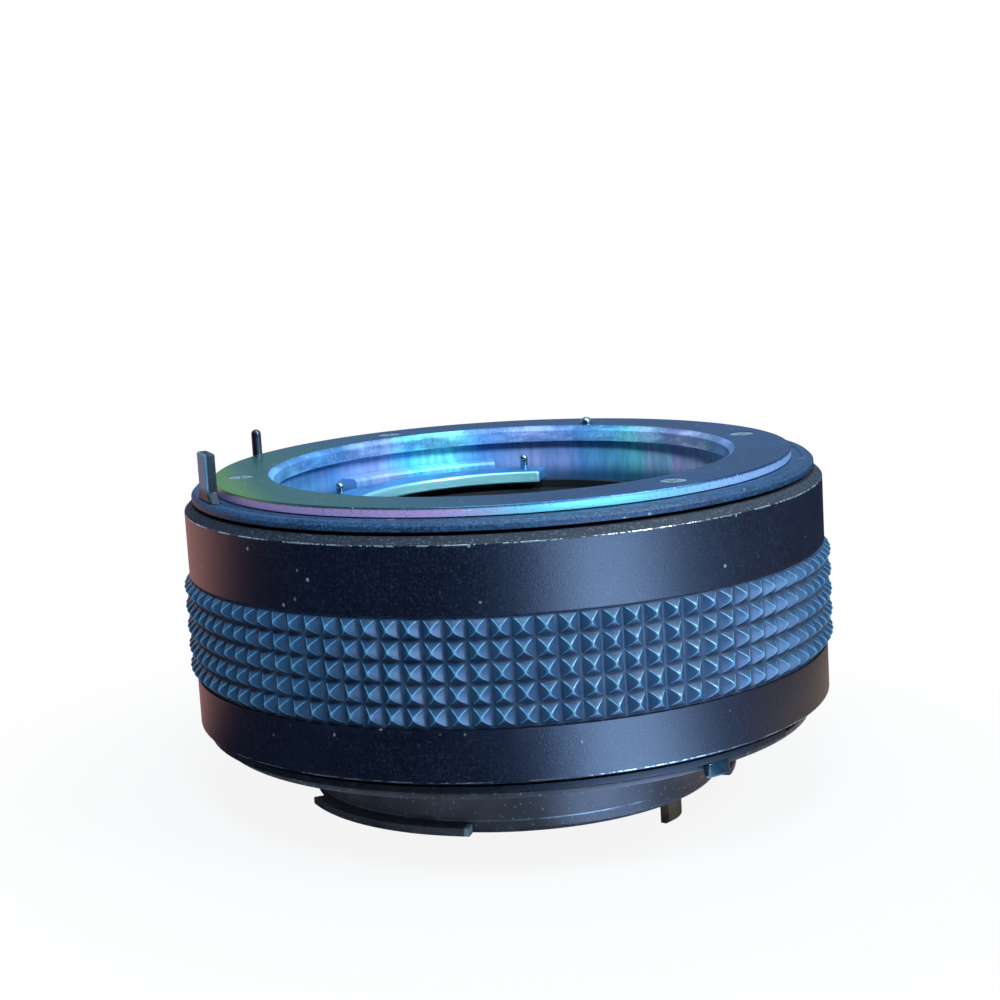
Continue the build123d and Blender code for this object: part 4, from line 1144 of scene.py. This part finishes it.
class CONVERTER_OT_optics(Piece, bpy.types.Operator):
    """Turn the lens barrel, its baffles and the glass"""
    bl_idname = "converter.optics"
    bl_label = "Optics"
    clearance = 0.03 * MM
    outer, tail, lip = 17.0 * MM, 16.6 * MM, 12.6 * MM
    lip_height = 0.8 * MM
    flange_low, flange_high = 2.0 * MM, 3.6 * MM
    tail_chamfer = 0.2 * MM
    tail_rings, ring_pitch, first_ring = 4, 1.1 * MM, 1.0 * MM
    ring_depth, ring_slope, ring_floor, ring_width = 0.18 * MM, 0.12 * MM, 0.36 * MM, 0.48 * MM
    mouth_steps, step_width = 7, 0.16 * MM
    slot_inner, slot_outer = 17.67 * MM, 19.3 * MM
    slot_start, slot_span = -59.5, 43.2
    retainer_step, retainer_chamfer = 0.2 * MM, 0.4 * MM
    spanner_slot, slot_bearings = (1.4 * MM, 0.7 * MM, 0.9 * MM), (20, 200)
    # Height of the rim and the crowns of both faces, in millimetres
    crowns = {
        "rear_element": (2.2, 1.2, 0.45),
        "fourth_element": (2.6, -0.9, -0.9),
        "middle_element": (2.2, 1.4, 1.0),
        "second_element": (2.4, -0.8, -0.8),
        "front_element": (2.4, 1.5, 0.3),
    }

    def execute(self, context):
        optics = self.settings("converter_optics")
        black = flat_black("flat_black", tuple(optics.black))
        self.barrel(optics, black)
        glass = coated_glass()
        for node, sizes in self.crowns.items():
            self.element(optics, node, [size * MM for size in sizes], glass)
        self.retainer(optics, black)
        spacers = [f"lens_spacer_{number}" for number in range(1, 5)]
        dress_nodes([*spacers, "light_baffle"], black)
        anodised = painted_black("dark_anodised", (0.02, 0.02, 0.024), 0.4, 5.0, 0.2, (0.06, 0.065, 0.08))
        dress_nodes(["chassis", "grip_carrier"], anodised)
        return {"FINISHED"}

    def barrel(self, optics, black):
        """The tube for the glass, with anti-glare steps in its mouth and rings cut round its tail."""
        low, high = heights("lens_barrel")
        flange = reach("lens_barrel")
        chamfer = self.tail_chamfer
        outline = [(self.lip, low), (self.tail - chamfer, low), (self.tail, low + chamfer)]
        cut_radius = self.tail - self.ring_depth
        for ring in range(self.tail_rings):
            height = low + self.first_ring + ring * self.ring_pitch
            outline += [(self.tail, height), (cut_radius, height + self.ring_slope),
                        (cut_radius, height + self.ring_floor), (self.tail, height + self.ring_width)]
        outline += [(self.tail, self.flange_low), (flange, self.flange_low), (flange, self.flange_high),
                    (self.outer, self.flange_high), (self.outer, high), (optics.mouth, high)]
        for step in range(1, self.mouth_steps):
            share = step / self.mouth_steps
            radius = optics.mouth + (optics.bore - optics.mouth) * share
            height = high - optics.mouth_depth * share
            outline += [(radius + self.step_width, height), (radius, height)]
        shelf = low + self.lip_height
        outline += [(optics.bore, high - optics.mouth_depth), (optics.bore, shelf), (self.lip, shelf)]
        barrel = soften(lathe("lens_barrel_dressed", outline), 0.03 * MM, 1)
        through = oblong(self.slot_inner, self.slot_outer, self.flange_low - MM, self.flange_high + MM)
        cut(barrel, sector("slot", through, self.slot_start, self.slot_span))
        smooth(barrel, 30)
        finish_piece(barrel, HOUSING, "lens_barrel", black)

    def element(self, optics, node, sizes, glass):
        """A ground and polished element with a flat rim."""
        rim_height, front_crown, rear_crown = sizes
        low = bottom(node) + max(0.0, rear_crown)
        high = low + rim_height
        rim = optics.bore - self.clearance
        outline = [(0.0, low - rear_crown)]
        outline += self.ground_face(optics.clear, low, -rear_crown)
        outline += [(rim, low), (rim, high)]
        outline += reversed(self.ground_face(optics.clear, high, front_crown))
        outline.append((0.0, high + front_crown))
        element = lathe(f"{node}_dressed", outline, closed=False, steps=128)
        smooth(element, 30)
        finish_piece(element, HOUSING, node, glass)

    def ground_face(self, clear, level, crown, steps=12):
        """Points of a spherical face, from near the axis to its rim."""
        sphere = (clear ** 2 + crown ** 2) / (2 * abs(crown))
        sign = 1 if crown > 0 else -1
        points = []
        for step in range(1, steps + 1):
            radius = clear * step / steps
            sag = sphere - (sphere ** 2 - radius ** 2) ** 0.5
            points.append((radius, level + crown - sign * sag))
        return points

    def retainer(self, optics, black):
        """The ring that holds the front element, with two slots for a spanner."""
        low, high = heights("front_retainer")
        rim = optics.bore - self.clearance
        clear = optics.clear + self.retainer_step
        chamfer = self.retainer_chamfer
        ring = lathe("front_retainer_dressed", [
            (clear, low), (rim, low), (rim, high), (clear + chamfer, high), (clear, high - chamfer)])
        soften(ring, 0.05 * MM)
        for degrees in self.slot_bearings:
            cut(ring, block(at(rim, degrees, high), *self.spanner_slot))
        smooth(ring)
        finish_piece(ring, HOUSING, "front_retainer", black)


class CONVERTER_OT_stopdown(Piece, bpy.types.Operator):
    """Make the stop-down sleeve, plate, pins and lever"""
    bl_idname = "converter.stopdown"
    bl_label = "Stop-down link"
    outer, width = 19.0 * MM, 3.8 * MM
    start, span = 75, 94
    pin_circle, pin_angles = 17.53 * MM, (82, 164)
    neck, head = 0.42 * MM, 0.44 * MM
    neck_drop, head_drop = 0.7 * MM, 0.6 * MM

    def execute(self, context):
        outline = oblong(self.outer - self.width, self.outer, *heights("stopdown_plate"))
        plate = sector("stopdown_plate_dressed", outline, self.start, self.span, 360)
        soften(plate, 0.25 * MM, 3, 60)
        finish_piece(plate, STOPDOWN, "stopdown_plate", self.plate_finish())
        pins = join("stopdown_pins_dressed", [self.pin(degrees) for degrees in self.pin_angles])
        steel = turned_metal("bright_pin", (0.42, 0.6, 0.75), 0.2, (0.2, 0.3, 0.4), 0.4)
        finish_piece(pins, STOPDOWN, "stopdown_pins", steel)
        dress_nodes(["stopdown_sleeve"], bpy.data.materials["flat_black"])
        dress_nodes(["stopdown_lever"], self.lever_finish())
        return {"FINISHED"}

    def pin(self, degrees):
        """A turned pin with a round head a little wider than its neck."""
        low, high = heights("stopdown_pins")
        outline = [(0.0, low), (self.neck, low), (self.neck, high - self.neck_drop),
                   (self.head, high - self.head_drop)]
        outline += dome(self.head, high - self.head, self.head, (0, 22, 45, 68))
        pin = lathe("stopdown_pin", outline + [(0.0, high)], closed=False, steps=40)
        smooth(pin, 50)
        return place(pin, at(self.pin_circle, degrees, 0.0))

    def plate_finish(self):
        """Bright bluish steel, dull on its face, and polished along its inner edge with a painted highlight
        there.
        """
        graph = Graph("stopdown_plate")
        fine = graph.noise(1.0, 4.0, 0.7, graph.polar(6.0, 6.0, 2.0))
        patch = graph.noise(0.3, 3.0, 0.6)
        inner = self.outer - self.width
        # Painted highlight: a bright cyan band along the inner edge, which is also smoother.
        rim = 1.0 - graph.radius.step(inner + 0.1 * MM, inner + 0.55 * MM)
        colour = graph.mix(patch.step(0.35, 0.7), (0.13, 0.42, 0.82), (0.07, 0.26, 0.6))
        colour = graph.mix(rim, colour, (0.45, 0.92, 1.0))
        rough = 0.34 + fine * 0.15 - rim * 0.1
        return graph.finish(colour, rough, 0.7, graph.bump(fine, 0.01 * MM, 0.5))

    def lever_finish(self):
        """Blackened brass, painted olive brown on the flat as if lit."""
        graph = Graph("lever_brass")
        patch = graph.noise(0.7, 4.0, 0.65)
        grain = graph.noise(5.0, 2.0, 0.7)
        # Painted light: the flat face is olive brown as if lit; the rest is blackened brass.
        flat = graph.angle.step(radians(-41.6), radians(-40.8))
        colour = graph.mix(flat, (0.02, 0.014, 0.016), (0.5, 0.33, 0.2))
        colour = graph.mix(patch.step(0.45, 0.75) * 0.5, colour, (0.06, 0.04, 0.03))
        normal = graph.bump(grain, 0.012 * MM, 0.6)
        return graph.finish(colour, 0.5 + grain * 0.25, 0.0, normal, Specular_IOR_Level=0.25)


class CONVERTER_OT_lock(Piece, bpy.types.Operator):
    """Dress the lens lock and its release slide"""
    bl_idname = "converter.lock"
    bl_label = "Lens lock"
    gap = 0.15 * MM
    base_thickness = 0.6 * MM
    base_start, base_span = 60.5, 13
    grip_start, grip_span = 62.5, 9
    grip_reach, grip_height = 1.9 * MM, 2.4 * MM
    grip_rooted, grip_corner = 0.3 * MM, 0.1 * MM
    ridges, ridge_pitch, ridge_depth = 4, 0.6 * MM, 0.35 * MM
    ridge_low, ridge_middle, ridge_high = 0.2 * MM, 0.32 * MM, 0.5 * MM

    def execute(self, context):
        middle = (bottom("release_slide") + top("release_slide")) / 2
        dress_nodes(["lock_pin"], bpy.data.materials["bright_pin"])
        dress_nodes(["lock_arm"], bpy.data.materials["lever_brass"])
        slide = join("release_slide_dressed", [self.slide_base(), self.thumb_grip(middle)])
        finish = shell_finish("slide_paint", self.settings("converter_shell"), middle, (middle, middle), 0.1)
        finish_piece(slide, LOCK, "release_slide", finish)
        return {"FINISHED"}

    def slide_base(self):
        """The curved plate that slides on the shell."""
        inner = reach("upper_shell") + self.gap
        outline = oblong(inner, inner + self.base_thickness, *heights("release_slide"))
        base = sector("slide_base", outline, self.base_start, self.base_span, FINE_TURN_STEPS)
        return soften(base, 0.12 * MM, 3)

    def thumb_grip(self, middle):
        """The raised grip with its ridges."""
        inner = reach("upper_shell") + self.gap
        low = middle - self.grip_height / 2
        outward = inner + self.grip_reach
        root, corner = inner + self.grip_rooted, self.grip_corner
        outline = [(root, low), (outward - corner, low), (outward, low + corner)]
        for ridge in range(self.ridges):
            height = low + ridge * self.ridge_pitch
            outline += [(outward, height + self.ridge_low),
                        (outward - self.ridge_depth, height + self.ridge_middle),
                        (outward, height + self.ridge_high)]
        outline += [(outward - corner, low + self.grip_height), (root, low + self.grip_height)]
        grip = sector("slide_grip", outline, self.grip_start, self.grip_span, FINE_TURN_STEPS)
        return soften(grip, 0.05 * MM, 2)


class CONVERTER_OT_studio(Piece, bpy.types.Operator):
    """Lay the floor, hang the lamps and place the camera"""
    bl_idname = "converter.studio"
    bl_label = "Studio"
    raised, yaw, pitch, roll = radians(14.46), radians(0.096), radians(-5.146), radians(-3.344)
    turning_height = 1.9 * MM
    lever_foot = (0.0145, -0.0112, -0.0091)
    barrel_heel = (-0.0163, 0.0126, -0.0064)
    focus = (0.0, 0.0, 0.012)
    throat_focus = (0.0, 0.02, 0.023)

    def execute(self, context):
        studio = self.settings("converter_studio")
        self.camera(studio)
        self.floor()
        self.world(studio)
        self.lamp("key_lamp", (0.19, -0.13, 0.2), self.focus, (0.09, 0.08), studio.key, (0.72, 0.9, 1.0))
        self.lamp("top_lamp", (0.03, -0.02, 0.3), self.focus, (0.26, 0.16), studio.fill, (0.6, 0.85, 1.0))
        throat = self.lamp("throat_lamp", (0.0, -0.17, 0.2), self.throat_focus, (0.06, 0.06), studio.throat,
                           (0.6, 0.86, 1.0))
        throat.visible_glossy = False
        context.scene.view_settings.view_transform = "Standard"
        return {"FINISHED"}

    def camera(self, studio):
        """The camera of the photograph: a little above the rim, close, and slightly rolled."""
        rise, yaw, pitch, roll = self.raised, self.yaw, self.pitch, self.roll
        base = Matrix(((1, 0, 0), (0, sin(rise), cos(rise)), (0, cos(rise), -sin(rise))))
        across = Matrix(((cos(yaw), 0, sin(yaw)), (0, 1, 0), (-sin(yaw), 0, cos(yaw))))
        tilt = Matrix(((1, 0, 0), (0, cos(pitch), sin(pitch)), (0, -sin(pitch), cos(pitch))))
        lean = Matrix(((cos(roll), sin(roll), 0), (-sin(roll), cos(roll), 0), (0, 0, 1)))
        rows = lean @ tilt @ across @ base
        data = bpy.data.cameras.new("photo_camera")
        data.lens = studio.lens
        data.sensor_width = 36.0
        data.clip_start = 0.01
        camera = bpy.data.objects.new("photo_camera", data)
        bpy.context.scene.collection.objects.link(camera)
        turned = Matrix((rows[0], rows[1], [-value for value in rows[2]])).transposed().to_4x4()
        away = studio.distance
        place_at = Vector((0.0, -away * cos(rise), away * sin(rise) + self.turning_height))
        camera.matrix_world = Matrix.Translation(place_at) @ turned
        bpy.context.scene.camera = camera

    def floor(self):
        """A pale sweep, tipped so that the part rests on its lever and the rim of its bayonet."""
        lever, heel = Vector(self.lever_foot), Vector(self.barrel_heel)
        along = (lever - heel).normalized()
        level = Vector((along.y, -along.x, 0.0)).normalized()
        normal = level.cross(along).normalized()
        if normal.z < 0:
            normal.negate()
        start_afresh()
        bpy.ops.mesh.primitive_circle_add(vertices=96, radius=4.0, fill_type="NGON")
        sweep = bpy.context.object
        sweep.name = "studio_floor"
        place(sweep, Matrix.Translation(lever) @ normal.to_track_quat("Z", "Y").to_matrix().to_4x4())
        sweep.data.materials.append(self.floor_finish())

    def floor_finish(self):
        """White to the camera, and to mirrored rays a dark floor that glows with a blue pool and warm bands,
        painting reflections on the part.
        """
        graph = Graph("studio_floor")
        through_ray = graph.ray("Is Transmission Ray")
        pale = graph.node("ShaderNodeBsdfDiffuse", {}, (0.4, 0.42, 0.45))
        white = graph.node("ShaderNodeEmission", {}, (1.0, 1.0, 1.0), 1.0)
        far = graph.radius.step(0.03, 0.07)
        seen = graph.ray("Is Camera Ray").most(through_ray) * (0.9 + far * 0.1)
        shown = graph.node("ShaderNodeMixShader", {}, seen, pale, white)
        # Painted reflections: to mirrored rays the floor glows, though it is no lamp, with a blue pool on the
        # right and warm bands elsewhere.
        degrees = graph.angle * (180 / pi)
        front = 1.0 - degrees.step(-56.0, -30.0) * 0.96
        pool = degrees.step(-80.0, -69.0) * front * (1.0 - degrees.step(-26.0, 18.0) * 0.93)
        tint = graph.mix(degrees.step(-50.0, 10.0), (3.2, 5.2, 9.0), (2.8, 3.4, 4.5))
        near = 1.0 - graph.radius.step(0.075, 0.11)
        light = graph.mix(pool * (1.0 - near * 0.22), (0.012, 0.016, 0.045), tint)
        light = graph.mix(degrees.band(134.0, 14.0, 30.0), light, (0.85, 0.42, 0.4))
        light = graph.mix(degrees.band(104.0, 6.0, 8.0), light, (0.36, 0.42, 0.25))
        light = graph.mix(degrees.band(14.0, 24.0, 20.0) * near, light, (0.55, 0.42, 0.3))
        glossy_glow = graph.node("ShaderNodeEmission", {}, light, 1.0)
        mirrored = graph.ray("Is Glossy Ray") * (1.0 - through_ray) * graph.radius.step(0.02, 0.024)
        return graph.show(graph.node("ShaderNodeMixShader", {}, mirrored, shown, glossy_glow))

    def world(self, studio):
        """White behind the part for the camera, and a plain soft room for everything else."""
        world = bpy.data.worlds.new("studio_world")
        bpy.context.scene.world = world
        graph = Tree(world, "ShaderNodeOutputWorld")
        direction = graph.node("ShaderNodeTexCoord", {"out": "Generated"})
        depth = graph.node("ShaderNodeSeparateXYZ", {"out": "Y"}, direction)
        glow = graph.node("ShaderNodeMapRange", {}, depth, -0.35, 0.75, 0.02, 0.42)
        white = graph.node("ShaderNodeBackground", {}, (1.0, 1.0, 1.0), 1.0)
        room = graph.node("ShaderNodeBackground", {}, (0.5, 0.58, 0.7), studio.room)
        mirrored_room = graph.node("ShaderNodeBackground", {}, (0.55, 0.82, 1.25), glow)
        inner = graph.node("ShaderNodeMixShader", {}, graph.ray("Is Glossy Ray"), room, mirrored_room)
        seen = graph.ray("Is Camera Ray").most(graph.ray("Is Transmission Ray"))
        graph.show(graph.node("ShaderNodeMixShader", {}, seen, inner, white))

    def lamp(self, name, place_at, focus, size, power, colour):
        """A rectangular lamp that looks at the focus."""
        data = bpy.data.lights.new(name, "AREA")
        data.shape = "RECTANGLE"
        data.size, data.size_y = size
        data.energy = power
        data.color = colour
        lamp = bpy.data.objects.new(name, data)
        bpy.context.scene.collection.objects.link(lamp)
        lamp.location = place_at
        lamp.rotation_euler = (Vector(place_at) - Vector(focus)).to_track_quat("Z", "Y").to_euler()
        return lamp


class CONVERTER_PT_sidebar(bpy.types.Panel):
    """Lists the pieces and their settings"""
    bl_idname = "CONVERTER_PT_sidebar"
    bl_label = "Teleconverter"
    bl_space_type = "VIEW_3D"
    bl_region_type = "UI"
    bl_category = "Converter"

    def draw(self, context):
        for group, settings in SETTINGS.items():
            box = self.layout.box()
            box.label(text=settings.__doc__)
            for name in settings.__annotations__:
                box.prop(getattr(context.scene, group), name)
        for operator in OPERATORS:
            self.layout.operator(operator.bl_idname)


SETTINGS = {
    "converter_shell": ShellSettings,
    "converter_grip": GripSettings,
    "converter_mount": MountSettings,
    "converter_rear": RearSettings,
    "converter_optics": OpticsSettings,
    "converter_studio": StudioSettings,
}
OPERATORS = (
    CONVERTER_OT_shells,
    CONVERTER_OT_grip,
    CONVERTER_OT_front_mount,
    CONVERTER_OT_claws,
    CONVERTER_OT_coupling,
    CONVERTER_OT_rear_mount,
    CONVERTER_OT_optics,
    CONVERTER_OT_stopdown,
    CONVERTER_OT_lock,
    CONVERTER_OT_studio,
)


def register():
    for group, settings in SETTINGS.items():
        bpy.utils.register_class(settings)
        setattr(bpy.types.Scene, group, PointerProperty(type=settings))
    for operator in OPERATORS:
        bpy.utils.register_class(operator)
    bpy.utils.register_class(CONVERTER_PT_sidebar)


def unregister():
    bpy.utils.unregister_class(CONVERTER_PT_sidebar)
    for operator in reversed(OPERATORS):
        bpy.utils.unregister_class(operator)
    for group, settings in SETTINGS.items():
        delattr(bpy.types.Scene, group)
        bpy.utils.unregister_class(settings)


def main():
    register()
    bpy.ops.converter.shells()
    bpy.ops.converter.grip()
    bpy.ops.converter.front_mount()
    bpy.ops.converter.claws()
    bpy.ops.converter.coupling()
    bpy.ops.converter.rear_mount()
    bpy.ops.converter.optics()
    bpy.ops.converter.stopdown()
    bpy.ops.converter.lock()
    bpy.ops.converter.studio()


if __name__ == "__main__":
    main()
